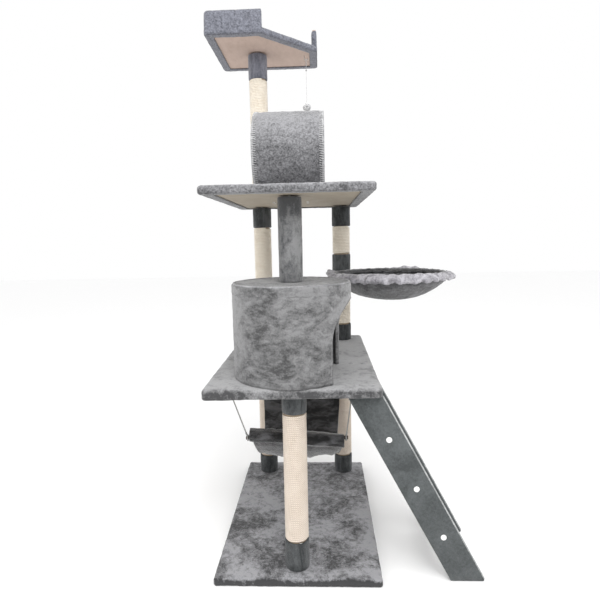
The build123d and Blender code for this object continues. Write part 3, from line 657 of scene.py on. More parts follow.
def slab_skin(name, outline, z0, z1, finish, body, top_round=8 * mm, bottom_round=5 * mm, border=36 * mm,
              closed=False, rings=26, turn=None, **more):
    """Plush drawn over a flat board. outline(inset) gives the rings. It is open underneath inside the
    border unless closed. turn maps a point, for a slab that doesn't lie level."""
    middle = outline(0).mean(0)
    edge = outline(top_round)
    net = []
    for step in range(1, rings):
        share = step / rings
        net.append([(*p, z1) for p in middle + (edge - middle) * share])
    profile = edge_profile(z0, z1, top_round, bottom_round, border)
    net += [[(*p, height) for p in outline(inset)] for inset, height in profile]
    poles = [(*middle, z1), None]
    if closed:
        last = outline(border)
        for share in (0.66, 0.33, 0.1):
            net.append([(*p, z0) for p in middle + (last - middle) * share])
        poles[1] = (*middle, z0)
    net = np.array(net)
    if turn:
        net = np.array([[turn(p) for p in row] for row in net])
        poles = [turn(p) if p is not None else None for p in poles]
    return net_piece(name, net, finish, body, wrap_cols=True, poles=poles, **more)


def box_outline(x0, x1, y0, y1, radius=deck_corner):
    corners = [(x0, y0), (x1, y0), (x1, y1), (x0, y1)]
    return lambda inset: rounded_outline(corners, radius, inset)


# %% [markdown]
# The base is covered all round, and the two decks have bare undersides. Plush is pulled tight by hand, so
# no cover is quite square: each one's front left corner stands a few millimetres out.

# %% Base, lower deck and upper deck
def pull_corner(piece, box, out, down):
    """Pulls the front left corner of a cover outwards, and its lower edge down, fading out towards the
    other corners. The top stays on its board."""
    x0, x1, y0, y1, z0, z1 = box
    for vertex in piece.data.vertices:
        left = min(1, max(0, (x1 - vertex.co.x) / (x1 - x0))) ** 2
        front = min(1, max(0, (y1 - vertex.co.y) / (y1 - y0))) ** 2
        vertex.co.x -= out * left
        depth = min(1, max(0, (z1 - vertex.co.z) / (z1 - z0) - 0.25) / 0.75)
        vertex.co.z -= down * left * front * depth


# Each cover: whether it is closed underneath, its finish, and how far its corner is pulled out and down.
deck_covers = {"base_cover": (True, base_plush, 2.5 * mm, 0),
               "lower_deck_cover": (False, deck_plush, 6 * mm, 6 * mm),
               "upper_deck_cover": (False, curly_plush, 5 * mm, 0)}
for node, (closed, finish, pulled_out, pulled_down) in deck_covers.items():
    x0, x1, y0, y1, z0, z1 = box_of(node)
    skin_depth = 0 if closed else half_pile
    outline = box_outline(x0 + skin_depth, x1 - skin_depth, y0 + skin_depth, y1 - skin_depth,
                          9 * mm if closed else deck_corner)
    cover = slab_skin(f"{node}_plush", outline, z0 + skin_depth, z1 - skin_depth, finish, "frame",
                      closed=closed, slot="plush", stands_for=[node])
    pull_corner(cover, box_of(node), pulled_out, pulled_down)
    press_pile(cover, (2.4, 30), (1.4, 9))
    if not closed:
        thicken(cover, pile_thickness * 0.8)
    print(cover.name, len(cover.data.polygons), "faces")

# %% [markdown]
# ## The posts
#
# A post is a card tube. Sisal rope is wound round it turn against turn, and a plush sleeve covers each end
# of the winding. The winding is really one long rope, so it is modelled as one: a helix whose turns lie a
# rope's width apart, with the rope's section carried along it. Its own coordinates run round the rope and
# along it in metres, which is what the strands in the finish need.

# %% Wound posts
rope_diameter = 6 * mm
turn_steps = 30
section_steps = 7


def wound_rope(name, node, finish):
    """One rope wound from the bottom of the node's box to its top."""
    x0, x1, y0, y1, z0, z1 = box_of(node)
    centre = middle_of(box_of(node))
    coil_radius = (x1 - x0) / 2 - rope_diameter / 2
    turns = (z1 - z0 - rope_diameter) / rope_diameter
    steps = round(turns * turn_steps)
    net, own = [], []
    run = 0.0
    for step in range(steps + 1):
        angle = 2 * math.pi * step / turn_steps
        out = np.array((math.cos(angle), math.sin(angle), 0))
        slack = 0.35 * mm * lumps((math.cos(angle), math.sin(angle), step / turn_steps * 0.6), 0.5)
        height = z0 + rope_diameter / 2 + (z1 - z0 - rope_diameter) * step / steps
        middle = np.array((*centre, height)) + out * (coil_radius + slack)
        # The rope is squeezed flat against the tube and its neighbours.
        for k in range(section_steps):
            around = 2 * math.pi * k / section_steps
            net.append(middle + out * rope_diameter * 0.48 * math.cos(around)
                       + np.array((0, 0, rope_diameter * 0.52 * math.sin(around))))
            own.append((k / section_steps, run))
        run += 2 * math.pi * coil_radius / turn_steps
    faces = net_faces(steps + 1, section_steps, wrap_cols=True) + end_faces(0, steps + 1, section_steps)
    make_piece(name, net, faces, finish, "frame", slot="sisal", stands_for=[node], coordinates=own)
    print(name, f"{turns:.0f} turns, {run:.1f} m of rope")


wound_nodes = sorted(n for n in frame["nodes"] if n.endswith("_sisal"))
for node in wound_nodes:
    # The rope on the upper posts gets the copy painted brighter, as painted light.
    wound_rope(f"{node}_rope", node, sisal if "lower" in node else sisal_painted_brighter)

# %% [markdown]
# ## Sleeves
#
# A sleeve is a short tube of dark plush with its ends turned in, pushed over the end of the winding. Its
# section is a thin loop that goes up the outside and down the inside, and the net closes both ways. The
# sleeves are one group in the frame, so each one's place is found again from the loose parts of that group.

# %% Plush sleeves
def loose_parts(node):
    """The boxes of the separate solids in a node, each as x0, x1, y0, y1, z0, z1."""
    mesh = frame["nodes"][node].data
    points = np.array([v.co for v in mesh.vertices])
    # Points at the same place are one point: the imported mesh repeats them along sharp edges.
    keys, index = np.unique(np.round(points, 6), axis=0, return_inverse=True)
    index = index.ravel()
    group = list(range(len(keys)))

    def root(k):
        while group[k] != k:
            group[k] = group[group[k]]
            k = group[k]
        return k

    for face in mesh.polygons:
        first = root(index[face.vertices[0]])
        for vertex in face.vertices[1:]:
            group[root(index[vertex])] = first
            first = root(first)
    roots = np.array([root(k) for k in range(len(keys))])
    boxes = []
    for r in np.unique(roots):
        part = keys[roots == r]
        low, high = part.min(0), part.max(0)
        boxes.append((low[0], high[0], low[1], high[1], low[2], high[2]))
    return sorted(boxes, key=lambda b: (round(b[4], 3), round(b[0], 3), round(b[2], 3)))


tube_radius = 30 * mm
inner_radius = tube_radius + 0.5 * mm


def plush_sleeve(name, box, finish, slot, node, seed):
    """A soft tube with turned-in ends that stands in the box."""
    x0, x1, y0, y1, z0, z1 = box
    centre_x, centre_y = middle_of(box)
    outer = (x1 - x0) / 2
    soft = 3 * mm
    section = [(inner_radius, z0 + soft), (inner_radius + soft * 0.5, z0 + soft * 0.3),
               (outer - soft, z0), (outer - soft * 0.3, z0 + soft * 0.4), (outer, z0 + soft * 1.4)]
    rise = z1 - z0 - 2.8 * soft
    count = max(3, round(rise / (8 * mm)))
    section += [(outer, z0 + soft * 1.4 + rise * k / count) for k in range(1, count)]
    section += [(outer, z1 - soft * 1.4), (outer - soft * 0.3, z1 - soft * 0.4), (outer - soft, z1),
                (inner_radius + soft * 0.5, z1 - soft * 0.3), (inner_radius, z1 - soft)]
    around = np.linspace(0, 2 * math.pi, 56, endpoint=False)
    net = []
    for radius, height in section:
        row = []
        for angle in around:
            place = (math.cos(angle), math.sin(angle), height * 14)
            ease = 0.7 * mm * lumps(place, 0.7, seed) if radius > inner_radius + soft else 0
            lift = 1.2 * mm * lumps((math.cos(angle), math.sin(angle), 0), 0.8, seed + 3)
            inside = 0 if abs(height - z0) < 1e-6 or abs(height - z1) < 1e-6 else 1
            row.append((centre_x + (radius + ease - 0.4 * mm) * math.cos(angle),
                        centre_y + (radius + ease - 0.4 * mm) * math.sin(angle),
                        height + lift * inside * 0.3))
        net.append(row)
    piece = net_piece(name, net, finish, "frame", wrap_rows=True, wrap_cols=True, slot=slot,
                      stands_for=[node])
    return press_pile(piece, (0.9, 7))


sleeve_boxes = loose_parts("post_sleeves")
perch_level = box_of("perch_board")[4]
for number, box in enumerate(sleeve_boxes, 1):
    finish = pale_sleeve_plush if box[5] > perch_level - 10 * mm else dark_sleeve_plush
    plush_sleeve(f"post_sleeve_{number:02d}", box, finish, "sleeve_plush", "post_sleeves", number)
post_top = box_of("centre_post_cover")[5]
post_plush = plush("grey plush on the centre post", (0.068, 0.070, 0.074), (0.245, 0.247, 0.25), patch=0.07,
                   stretch=(1, 1, 0.6), dark_above=(post_top - 70 * mm, post_top - 30 * mm))
plush_sleeve("centre_post_plush", box_of("centre_post_cover"), post_plush, "plush", "centre_post_cover", 40)
print("sleeves:", len(sleeve_boxes))

# %% [markdown]
# ## The round house
#
# The house is a bent board drum with plush glued round it and an arched doorway cut through both. The wall
# cover is a net that is unrolled in the head first: columns go round the drum, rows go up it. Over the
# doorway the columns start at the arch, and beside it they have extra rows down to the deck. Spacing
# the arch's columns by equal turns of its ellipse keeps them even where the arch is steep.

# %% House wall cover
roof_box = box_of("house_roof_cover")
house_centre = middle_of(roof_box)
roof_radius = (roof_box[1] - roof_box[0]) / 2
wall_z0, wall_z1 = box_of("house_wall_cover")[4:]
wall_radius = house_centre[0] - box_of("house_wall_cover")[0]
door_turn = math.radians(-6)
door_half_width = 119 * mm
arch_rise = 110 * mm
lintel = 20 * mm
door_spring = wall_z1 - wall_z0 - lintel - arch_rise


def on_drum(turn_from_door, height, radius):
    """A point on the drum, by its angle from the middle of the doorway and its height above the deck."""
    angle = door_turn + turn_from_door
    return (house_centre[0] + radius * math.cos(angle), house_centre[1] + radius * math.sin(angle),
            wall_z0 + height)


def arch_point(phase, radius):
    """A point on the arch's edge: phase goes from -90 to 90 degrees across it."""
    return math.asin(door_half_width * math.sin(phase) / radius), door_spring + arch_rise * math.cos(phase)


def house_wall(name, radius):
    # The pile reaches a little way up past the wall's top, so that no gap shows under the roof.
    full = wall_z1 - wall_z0 + 3 * mm
    upper_rows, lower_rows = 14, 18
    jamb = math.asin(door_half_width / radius)
    points, faces = [], []
    arch_columns = 40
    for k in range(arch_columns + 1):
        phase = -math.pi / 2 + math.pi * k / arch_columns
        turn_from_door, foot = arch_point(phase, radius)
        for r in range(upper_rows + 1):
            points.append(on_drum(turn_from_door, foot + (full - foot) * r / upper_rows, radius))
    faces += net_faces(arch_columns + 1, upper_rows + 1)
    rows = lower_rows + upper_rows + 1
    first = len(points)
    wall_columns = 110
    heights = [door_spring * r / lower_rows for r in range(lower_rows)]
    heights += [door_spring + (full - door_spring) * r / upper_rows for r in range(upper_rows + 1)]
    for k in range(1, wall_columns):
        turn_from_door = jamb + (2 * math.pi - 2 * jamb) * k / wall_columns
        points += [on_drum(turn_from_door, h, radius) for h in heights]
    faces += net_faces(wall_columns - 1, rows, first=first)
    # The two jambs: their upper rows are the arch's end columns, their lower rows are new.
    for side, near_first, arch_first in ((1, first, arch_columns * (upper_rows + 1)),
                                         (-1, first + (wall_columns - 2) * rows, 0)):
        low = len(points)
        points += [on_drum(side * jamb, h, radius) for h in heights[:lower_rows]]
        column = list(range(low, low + lower_rows)) + list(range(arch_first, arch_first + upper_rows + 1))
        for r in range(rows - 1):
            quad = (column[r], near_first + r, near_first + r + 1, column[r + 1])
            faces.append(quad if side == 1 else tuple(reversed(quad)))
    return make_piece(name, points, faces, wall_plush, "frame", slot="plush",
                      stands_for=["house_wall_cover"])


# The pile stands as far out as the roof's, so that the two read as one cloth.
wall_inside, wall_outside = wall_radius - pile_thickness, roof_radius - 0.6 * mm
wall = house_wall("house_wall_plush", (wall_inside + wall_outside) / 2)
press_pile(wall, (3.0, 34), (1.6, 9))
thicken(wall, wall_outside - wall_inside - 1 * mm)
print("house wall:", len(wall.data.polygons), "faces")

# %% [markdown]
# The doorway's edge is bound with a strip that folds over board and plush. It is a tube with a flattened
# section that follows the doorway's outline on the drum, up one jamb, over the arch and down the other.

# %% Doorway binding
def swept_tube(name, path, half_wide, half_thick, wide_ways, finish, body, closed=False, steps=10, **more):
    """A tube with an oval section. wide_ways gives, at each point of the path, the section's wide way."""
    path = np.asarray(path, float)
    count = len(path)
    ahead_of = np.roll(path, -1, 0) - np.roll(path, 1, 0)
    if not closed:
        ahead_of[0], ahead_of[-1] = path[1] - path[0], path[-1] - path[-2]
    ahead_of /= np.linalg.norm(ahead_of, axis=1)[:, None]
    net, own = [], []
    run = 0.0
    for k in range(count):
        wide = np.asarray(wide_ways[k], float)
        wide = wide - ahead_of[k] * (wide @ ahead_of[k])
        wide /= np.linalg.norm(wide)
        thin = np.cross(ahead_of[k], wide)
        run += np.linalg.norm(path[k] - path[k - 1]) if k else 0
        net += around_line(path[k], wide * half_wide, thin * half_thick, 1, steps)
        own += [(s / steps, run) for s in range(steps)]
    faces = net_faces(count, steps, wrap_rows=closed, wrap_cols=True)
    if not closed:
        faces += end_faces(0, count, steps)
    return make_piece(name, net, faces, finish, body, coordinates=own, **more)


strip_radius = (wall_inside + wall_outside) / 2 - 2 * mm
jamb = math.asin(door_half_width / strip_radius)
outline = [(-jamb, h) for h in np.linspace(0, door_spring, 18)[:-1]]
outline += [arch_point(-math.pi / 2 + math.pi * k / 44, strip_radius) for k in range(45)]
outline += [(jamb, h) for h in np.linspace(door_spring, 0, 18)[1:]]
path = [on_drum(t, h, strip_radius) for t, h in outline]
outwards = [(p[0] - house_centre[0], p[1] - house_centre[1], 0) for p in path]
door_strip = swept_tube("house_door_binding_strip", path, 7.6 * mm, 2.6 * mm, outwards, wall_plush, "frame",
                        slot="plush_trim", stands_for=["house_door_binding"])
press_pile(door_strip, (0.7, 6))
print("door binding:", len(door_strip.data.polygons), "faces")

# %% [markdown]
# The roof is a slab like the decks, with a round outline. A soft rim runs round its top edge, painted
# lighter as the highlight where that edge catches the light.

# %% House roof
roof_z0, roof_z1 = roof_box[4:]
roof_ways = circle(150)


def roof_outline(inset):
    return house_centre + roof_ways * (roof_radius - half_pile - inset)


roof = slab_skin("house_roof_plush", roof_outline,
                 roof_z0 + half_pile, roof_z1 - half_pile, wall_plush, "frame", top_round=6 * mm,
                 bottom_round=1.5 * mm, border=30 * mm, slot="plush", stands_for=["house_roof_cover"])
press_pile(roof, (2.6, 28), (1.4, 9))
thicken(roof, pile_thickness * 0.8)
# Painted highlight: a soft rim of lighter plush along the roof's top edge.
rim = [(*p, roof_z1 - 1.6 * mm) for p in house_centre + roof_ways * (roof_radius - 6 * mm)]
roof_rim = swept_tube("house_roof_rim_highlight", rim, 3.4 * mm, 2.6 * mm, [(0, 0, 1)] * len(rim), rim_highlight_plush, "frame",
                      closed=True, slot="plush")
press_pile(roof_rim, (1.6, 12))
print("house roof:", len(roof.data.polygons), "faces")

# %% [markdown]
# ## Small things on the deck and the front post
#
# Four screws go down through the lower deck into the ladder. Long pile closes over their heads, which leaves
# four low tufts. At its lower end the front post's rope is held by a wire staple, a flat U whose
# legs go into the card tube.

# %% Tufts over the screws, and the staple
deck_top = box_of("lower_deck_cover")[5]
tuft_radius = 13 * mm
screw_boxes = [b for b in loose_parts("wood_screws") if abs(b[5] - deck_top) < 6 * mm]
for number, box in enumerate(screw_boxes, 1):
    middle = middle_of(box)
    rise = max(box[5] - deck_top, 0) + 1.6 * mm
    rows = []
    for share in np.linspace(0.15, 1, 8):
        height = deck_top - 1.5 * mm + (rise + 1.5 * mm) * math.cos(share * math.pi / 2) ** 0.8
        ring = [middle + way * tuft_radius * share * (1 + 0.15 * lumps((*way, number), 0.5))
                for way in circle(28)]
        rows.append([(*p, height) for p in ring])
    net_piece(f"deck_tuft_{number}", rows, deck_plush, "frame", wrap_cols=True, slot="plush",
              poles=((*middle, deck_top + rise), None))
print("tufts over screws:", len(screw_boxes))

post_box = box_of("front_lower_post_sisal")
rope_face = (post_box[1] - post_box[0]) / 2 + 0.3 * mm
low_sleeve = min(sleeve_boxes, key=lambda b: b[2] + b[4])
staple_z = low_sleeve[5] + 2.5 * mm
# The staple's bends: degrees round the post, and millimetres out from the rope.
bends = [(-74, -6.0), (-74, 0.0), (-73, 0.9), (-68, 0.9), (-63, 0.9), (-62, 0.0), (-62, -6.0)]
path = []
for degrees, depth in bends:
    angle = math.radians(degrees)
    way = np.array((math.cos(angle), math.sin(angle)))
    path.append((*(middle_of(post_box) + way * (rope_face + depth * mm)), staple_z))
swept_tube("front_post_staple", path, 0.8 * mm, 0.6 * mm, [(0, 0, 1)] * len(path), zinc, "frame",
           slot="steel")

# %% [markdown]
# ## The barrel tunnel
#
# The tunnel is a board barrel flattened where it stands, with curly plush glued round it. Both ends are
# bound: a lighter strip is folded over the edge and held with close overcast stitches. The cover is a net
# whose columns follow the barrel's outline, and the stitches are real little loops of thread set along
# that same outline.

# %% Tunnel cover
tunnel_x0, tunnel_x1, tunnel_y0, tunnel_y1, tunnel_z0, tunnel_z1 = box_of("tunnel_bindings")
barrel_radius = (tunnel_y1 - tunnel_y0) / 2
barrel_y = (tunnel_y0 + tunnel_y1) / 2
barrel_z = tunnel_z1 - barrel_radius


def barrel_outline(inset, count=132):
    """Points round the barrel in its end view, from the middle of its flat and back."""
    drop = barrel_z - tunnel_z0 - inset
    radius = barrel_radius - inset
    half_flat = math.sqrt(radius ** 2 - drop ** 2)
    corner = math.atan2(half_flat, drop)
    flat_steps = 12
    points = []
    for k in range(count):
        angle = corner + (2 * math.pi - 2 * corner) * k / (count - 1)
        points.append((barrel_y + radius * math.sin(angle), barrel_z - radius * math.cos(angle)))
    for k in range(1, flat_steps):
        points.append((barrel_y - half_flat + 2 * half_flat * k / flat_steps, barrel_z - drop))
    return np.array(points)


binding_width = 8 * mm
inner_x0, inner_x1 = tunnel_x0 + binding_width * 0.4, tunnel_x1 - binding_width * 0.4
net = []
for k in range(33):
    share = k / 32
    x = inner_x0 + (inner_x1 - inner_x0) * share
    tuck = 2.0 * mm * (abs(2 * share - 1) ** 6)
    net.append([(x, y, z) for y, z in barrel_outline(half_pile + tuck)])
tunnel_skin = net_piece("tunnel_plush", net, curly_plush, "frame", wrap_cols=True, slot="plush",
                        stands_for=["tunnel_cover"])
press_pile(tunnel_skin, (3.0, 26), (2.0, 9))
thicken(tunnel_skin, pile_thickness * 0.85)
print("tunnel cover:", len(tunnel_skin.data.polygons), "faces")

# %% [markdown]
# A binding is a swept tube along the barrel's edge, and each stitch is a short arc of thread that slants
# over it.

# %% Tunnel bindings and stitches
stitches = 110


def end_binding(name, x, way):
    path = [(x - way * 4 * mm, y, z) for y, z in barrel_outline(pile_thickness)]
    strip = swept_tube(name, path, 4.4 * mm, 4.2 * mm, [(1, 0, 0)] * len(path), binding_tape, "frame",
                       closed=True, slot="plush_trim", stands_for=["tunnel_bindings"])
    press_pile(strip, (0.8, 7))
    add_stitches(f"{name}_stitches", x - way * 9 * mm)


def add_stitches(name, x):
    """Overcast stitches: short slanting loops of thread over the binding's edge."""
    points, faces = [], []
    thread, half_run, steps, around = 0.8 * mm, 7 * mm, 6, 5
    for y, z in barrel_outline(0.5 * mm, count=stitches)[:stitches]:
        out = np.array((0, y - barrel_y, z - barrel_z))
        out /= np.linalg.norm(out)
        along = np.cross((1, 0, 0), out)
        first = len(points)
        for s in range(steps + 1):
            share = s / steps * 2 - 1
            middle = (np.array((x, y, z)) + np.array((1, 0, 0)) * half_run * share
                      + along * 1.3 * mm * share + out * 1.1 * mm * (1 - share ** 2))
            points += around_line(middle, out, along, thread, around)
        faces += net_faces(steps + 1, around, wrap_cols=True, first=first)
        faces += end_faces(first, steps + 1, around)
    make_piece(name, points, faces, stitch_thread, "frame", slot="plush_trim")


end_binding("tunnel_left_binding", tunnel_x0, -1)
end_binding("tunnel_right_binding", tunnel_x1, 1)
print("tunnel bindings with", stitches, "stitches each")

# %% [markdown]
# ## The perch
#
# The top perch is a tray: a board with its front right corner cut off as the way in, and four low walls
# that stop at the cut. Its floor is the same kind of slab as the decks, with one more corner. The walls are
# one long padded rail bent round three corners. Taking an outer and an inner outline with the same number
# of points makes that easy: the rail's section is drawn between the two at every point.

# %% Perch
perch_x0, perch_x1, perch_y0, perch_y1, perch_z0, perch_z1 = box_of("perch_floor_cover")
cut_x, cut_y = 193 * mm, 200 * mm
perch_corners = [(perch_x0, perch_y0), (perch_x1 - cut_x, perch_y0), (perch_x1, perch_y0 + cut_y),
                 (perch_x1, perch_y1), (perch_x0, perch_y1)]
perch_floor = slab_skin("perch_floor_plush",
                        lambda inset: rounded_outline(perch_corners, deck_corner, inset + half_pile),
                        perch_z0 + half_pile, perch_z1 - half_pile, perch_plush, "frame",
                        border=28 * mm, slot="plush", stands_for=["perch_floor_cover"])
pull_corner(perch_floor, box_of("perch_floor_cover"), 5 * mm, 0)
press_pile(perch_floor, (2.4, 28), (1.4, 9))
thicken(perch_floor, pile_thickness * 0.8)

wall_thick = 20 * mm
wall_top = box_of("perch_wall_cover")[5]
outer = rounded_outline(perch_corners, deck_corner, 0.6 * mm)
outer[:, 0] -= 5 * mm * ((perch_x1 - outer[:, 0]) / (perch_x1 - perch_x0)) ** 2
inner = rounded_outline(perch_corners, deck_corner, wall_thick)
# The walls start after the cut, at its right end, and run round the back to its left end. Both ends
# reach over the cut's corners, so that the wall boards' ends are covered too.
right_side = (outer[:, 0] > perch_x1 - 2 * mm) & (outer[:, 1] > perch_y0 + cut_y - 4 * mm)
front_side = (outer[:, 1] < perch_y0 + 2 * mm) & (outer[:, 0] < perch_x1 - cut_x + 4 * mm)
cut_end = int(np.flatnonzero(right_side)[np.argmin(outer[right_side, 1])])
cut_start = int(np.flatnonzero(front_side)[np.argmax(outer[front_side, 0])])
order = [k % len(outer) for k in range(cut_end, cut_start + len(outer) + 1)]
# The wall's section: each place is a share of the way inwards and of the wall's height.
wall_section = [(0.06, -0.34), (-0.03, -0.30), (-0.05, -0.15), (-0.02, 0.05), (0.0, 0.35), (0.0, 0.7),
                (0.04, 0.88), (0.18, 0.97), (0.5, 1.0), (0.82, 0.97), (0.96, 0.88), (1.0, 0.7), (1.0, 0.35),
                (1.0, 0.0), (0.2, -0.04)]
net = []
for step, k in enumerate(order):
    ear = min(1.0, 0.94 + 0.06 * step * outline_spacing / (20 * mm))
    row = []
    for across, level in wall_section:
        place = outer[k] + (inner[k] - outer[k]) * across
        row.append((*place, perch_z1 - 1.5 * mm + (wall_top - perch_z1) * level * ear))
    net.append(row)
# One more smaller ring before the first and after the last rounds the ends off.
for end, beside in ((0, 1), (-1, -2)):
    ring = np.array(net[end])
    beyond = (ring.mean(0) - np.array(net[beside]).mean(0))
    beyond = beyond / np.linalg.norm(beyond) * 5 * mm
    small = ring.mean(0) + (ring - ring.mean(0)) * 0.86 + beyond
    full = ring + beyond * 0.7
    net[:0] = [small.tolist(), full.tolist()] if end == 0 else []
    net += [full.tolist(), small.tolist()] if end == -1 else []
perch_wall = net_piece("perch_wall_plush", np.array(net), perch_plush, "frame", wrap_cols=True, caps=True,
                       slot="plush", stands_for=["perch_wall_cover"])
press_pile(perch_wall, (2.2, 24), (1.6, 9))
print("perch: floor", len(perch_floor.data.polygons), "and walls", len(perch_wall.data.polygons), "faces")

# %% [markdown]
# ## The ladder
#
# Two felt-covered rails carry three rungs, screwed through from outside under white caps. A rail is a
# slanting board with level ends, so its outline is drawn in side view and the slab helper builds it lying
# down. A turn then stands it up. The felt is tight, so it gets almost no relief.

# %% Ladder rails and rungs
rail_run = 305 * mm


def rail_cover(node):
    x0, x1, y0, y1, z0, z1 = box_of(node)
    corners = [(x0 + rail_run, z0), (x1, z0), (x1 - rail_run, z1), (x0, z1)]
    piece = slab_skin(f"{node}_felt", lambda inset: rounded_outline(corners, 4 * mm, inset, 12 * mm), y0, y1,
                      rail_felt, "frame", top_round=4 * mm, bottom_round=4 * mm, border=8 * mm, closed=True,
                      rings=14, turn=lambda p: (p[0], y0 + y1 - p[2], p[1]), slot="sleeve_plush",
                      stands_for=[node])
    return press_pile(piece, (0.8, 14))


def rail_edge_strip(node):
    """A strip along the upper slanting side of a rail, painted pale as the highlight where that edge faces
    the light.
    """
    x0, x1, y0, y1, z0, z1 = box_of(node)
    low = np.array((x1, 0, z0))
    high = np.array((x1 - rail_run, 0, z1))
    length = np.linalg.norm(high - low)
    way = (high - low) / length
    out = np.array((way[2], 0, -way[0]))
    start = low + out * 0.2 * mm + np.array((0, (y0 + y1) / 2, 0))
    path = [start + way * (8 * mm + (length - 16 * mm) * k / 60) for k in range(61)]
    strip = swept_tube(f"{node}_edge", path, (y1 - y0) / 2 - 0.5 * mm, 2.6 * mm, [(0, 1, 0)] * len(path),
                       rail_edge_highlight_felt, "frame", slot="sleeve_plush")
    press_pile(strip, (0.6, 8))


for node in ("ladder_front_rail", "ladder_back_rail"):
    rail_cover(node)
    rail_edge_strip(node)
rung_boxes = loose_parts("ladder_rungs")
for number, (x0, x1, y0, y1, z0, z1) in enumerate(rung_boxes, 1):
    rung = slab_skin(f"ladder_rung_{number}", box_outline(x0, x1, y0, y1, 5 * mm), z0, z1, rail_felt,
                     "frame", top_round=5 * mm, bottom_round=5 * mm, border=8 * mm, closed=True, rings=8,
                     slot="sleeve_plush", stands_for=["ladder_rungs"])
    press_pile(rung, (0.8, 12))
print("ladder rungs:", len(rung_boxes))

# %% [markdown]
# ## The hammock
#
# The hammock is one sheet of long dark plush. Each end is turned round a rod and sewn down, and the middle
# hangs in a curve with its sides drawn in and a little raised. Seen from the side the sheet runs from its
# seam under the front rod, forwards and over the rod, down the hanging curve, up again and round the back
# rod. Real cloth between two rods wrinkles along the pull, so the middle gets long shallow folds, and the
# rolls get creases along their length.

# %% Hammock sling
sling_x0, sling_x1 = box_of("hammock_sling")[:2]
sling_z0 = box_of("hammock_sling")[4]
sling_middle, sling_half = (sling_x0 + sling_x1) / 2, (sling_x1 - sling_x0) / 2
sling_thickness = 8 * mm
hem_radius = 17.5 * mm


def rod_line(node):
    """A rod's place in side view: its y and z."""
    x0, x1, y0, y1, z0, z1 = box_of(node)
    return (y0 + y1) / 2, (z0 + z1) / 2


front_rod_y, rod_level = rod_line("hammock_front_rod")
back_rod_y = rod_line("hammock_back_rod")[0]
sling_sag = rod_level - sling_z0 - sling_thickness / 2


def sling_path(steps_round=20, steps_hang=60):
    """The sheet in side view, from one seam to the other: (y, z, kind, value). On a hem the value is its
    angle, and between the rods it is how much of the full drop has been reached."""
    path = []
    for k in range(steps_round):
        angle = math.radians(40 - 310 * k / (steps_round - 1))
        path.append((front_rod_y + hem_radius * math.sin(angle),
                     rod_level - hem_radius * math.cos(angle), "hem", angle))
    first, last = front_rod_y + hem_radius, back_rod_y - hem_radius
    for k in range(1, steps_hang):
        share = k / steps_hang
        drop = 4 * share * (1 - share)
        path.append((first + (last - first) * share, rod_level - sling_sag * drop ** 0.86, "hang", drop))
    for k in range(steps_round):
        angle = math.radians(-270 + 310 * k / (steps_round - 1))
        path.append((back_rod_y - hem_radius * math.sin(angle),
                     rod_level - hem_radius * math.cos(angle), "hem", angle))
    return path


def sling_net(columns=90, tilt=0.075):
    """The path carried across the sheet's width. Its right side hangs lower, by tilt."""
    net = []
    for y, z, kind, value in sling_path():
        row = []
        middle_y = front_rod_y if y < (front_rod_y + back_rod_y) / 2 else back_rod_y
        for k in range(columns + 1):
            side = 2 * k / columns - 1
            x = sling_middle + sling_half * side
            if kind == "hem":
                crease = 0.88 + 0.24 * abs(math.sin(3.5 * value + 0.5 * side + middle_y * 9)) ** 0.7
                crease += 0.16 * lumps((side * 1.4, value * 0.8, middle_y), 0.6)
                ease = 1 - 0.08 * abs(side) ** 10
                py = middle_y + (y - middle_y) * crease * ease
                pz = rod_level + (z - rod_level) * crease * ease - tilt * (x - sling_middle)
                row.append((x, py, pz))
            else:
                narrow = 1 - 0.10 * value
                fold = 9 * mm * lumps((side * 2.8, y * 4, 0), 0.5)
                fold += 4.5 * mm * abs(lumps((side * 5.5, y * 7, 2), 0.5))
                lift = 17 * mm * abs(side) ** 3.2
                px = sling_middle + sling_half * side * narrow
                pz = z + value * (lift + fold) - tilt * (x - sling_middle) * (1 - value)
                row.append((px, y + value * 3 * mm * lumps((side * 3, y * 4, 1), 0.5), pz))
        net.append(row)
    return np.array(net)


net = sling_net()
sling = net_piece("hammock_sling_plush", net, hammock_plush, "hammock_sling", slot="dark_plush",
                  stands_for=["hammock_sling"])
press_pile(sling, (2.5, 18), (1.5, 8))
thicken(sling, sling_thickness * 0.85)

# %% [markdown]
# ## The basket
#
# The basket's pouch is cut wider than its ring and gathered on it, so folds run down from the rim and fade
# out towards the bottom. Its top edge is rolled over the ring. Outside the ring stands a frill, a doubled
# strip that was gathered even more tightly, so its free edge waves up and down. Beside the post the frill
# is narrower, because the post is in its way.

# %% Basket pouch
ring_x0, ring_x1 = box_of("basket_pouch")[:2]
ring_z0, ring_z1 = box_of("basket_pouch")[4:]
ruffle_box = box_of("basket_ruffle")
basket_centre = middle_of(ruffle_box)
basket_level = (ruffle_box[4] + ruffle_box[5]) / 2
rim_roll = ring_z1 - basket_level
ring_radius = (ring_x1 - ring_x0) / 2 - rim_roll
pouch_depth = basket_level - ring_z0
pouch_thickness = 5 * mm
gathers = 34


def gather_wave(angle, seed):
    """How far in or out a gathered fold stands, from -1 to 1, with folds of uneven width."""
    out = (math.cos(angle), math.sin(angle))
    drift = 0.55 * lumps((*out, seed), 0.45)
    return math.sin(gathers * angle + 5 * drift) * (0.65 + 0.35 * lumps((*out, 9), 0.3))


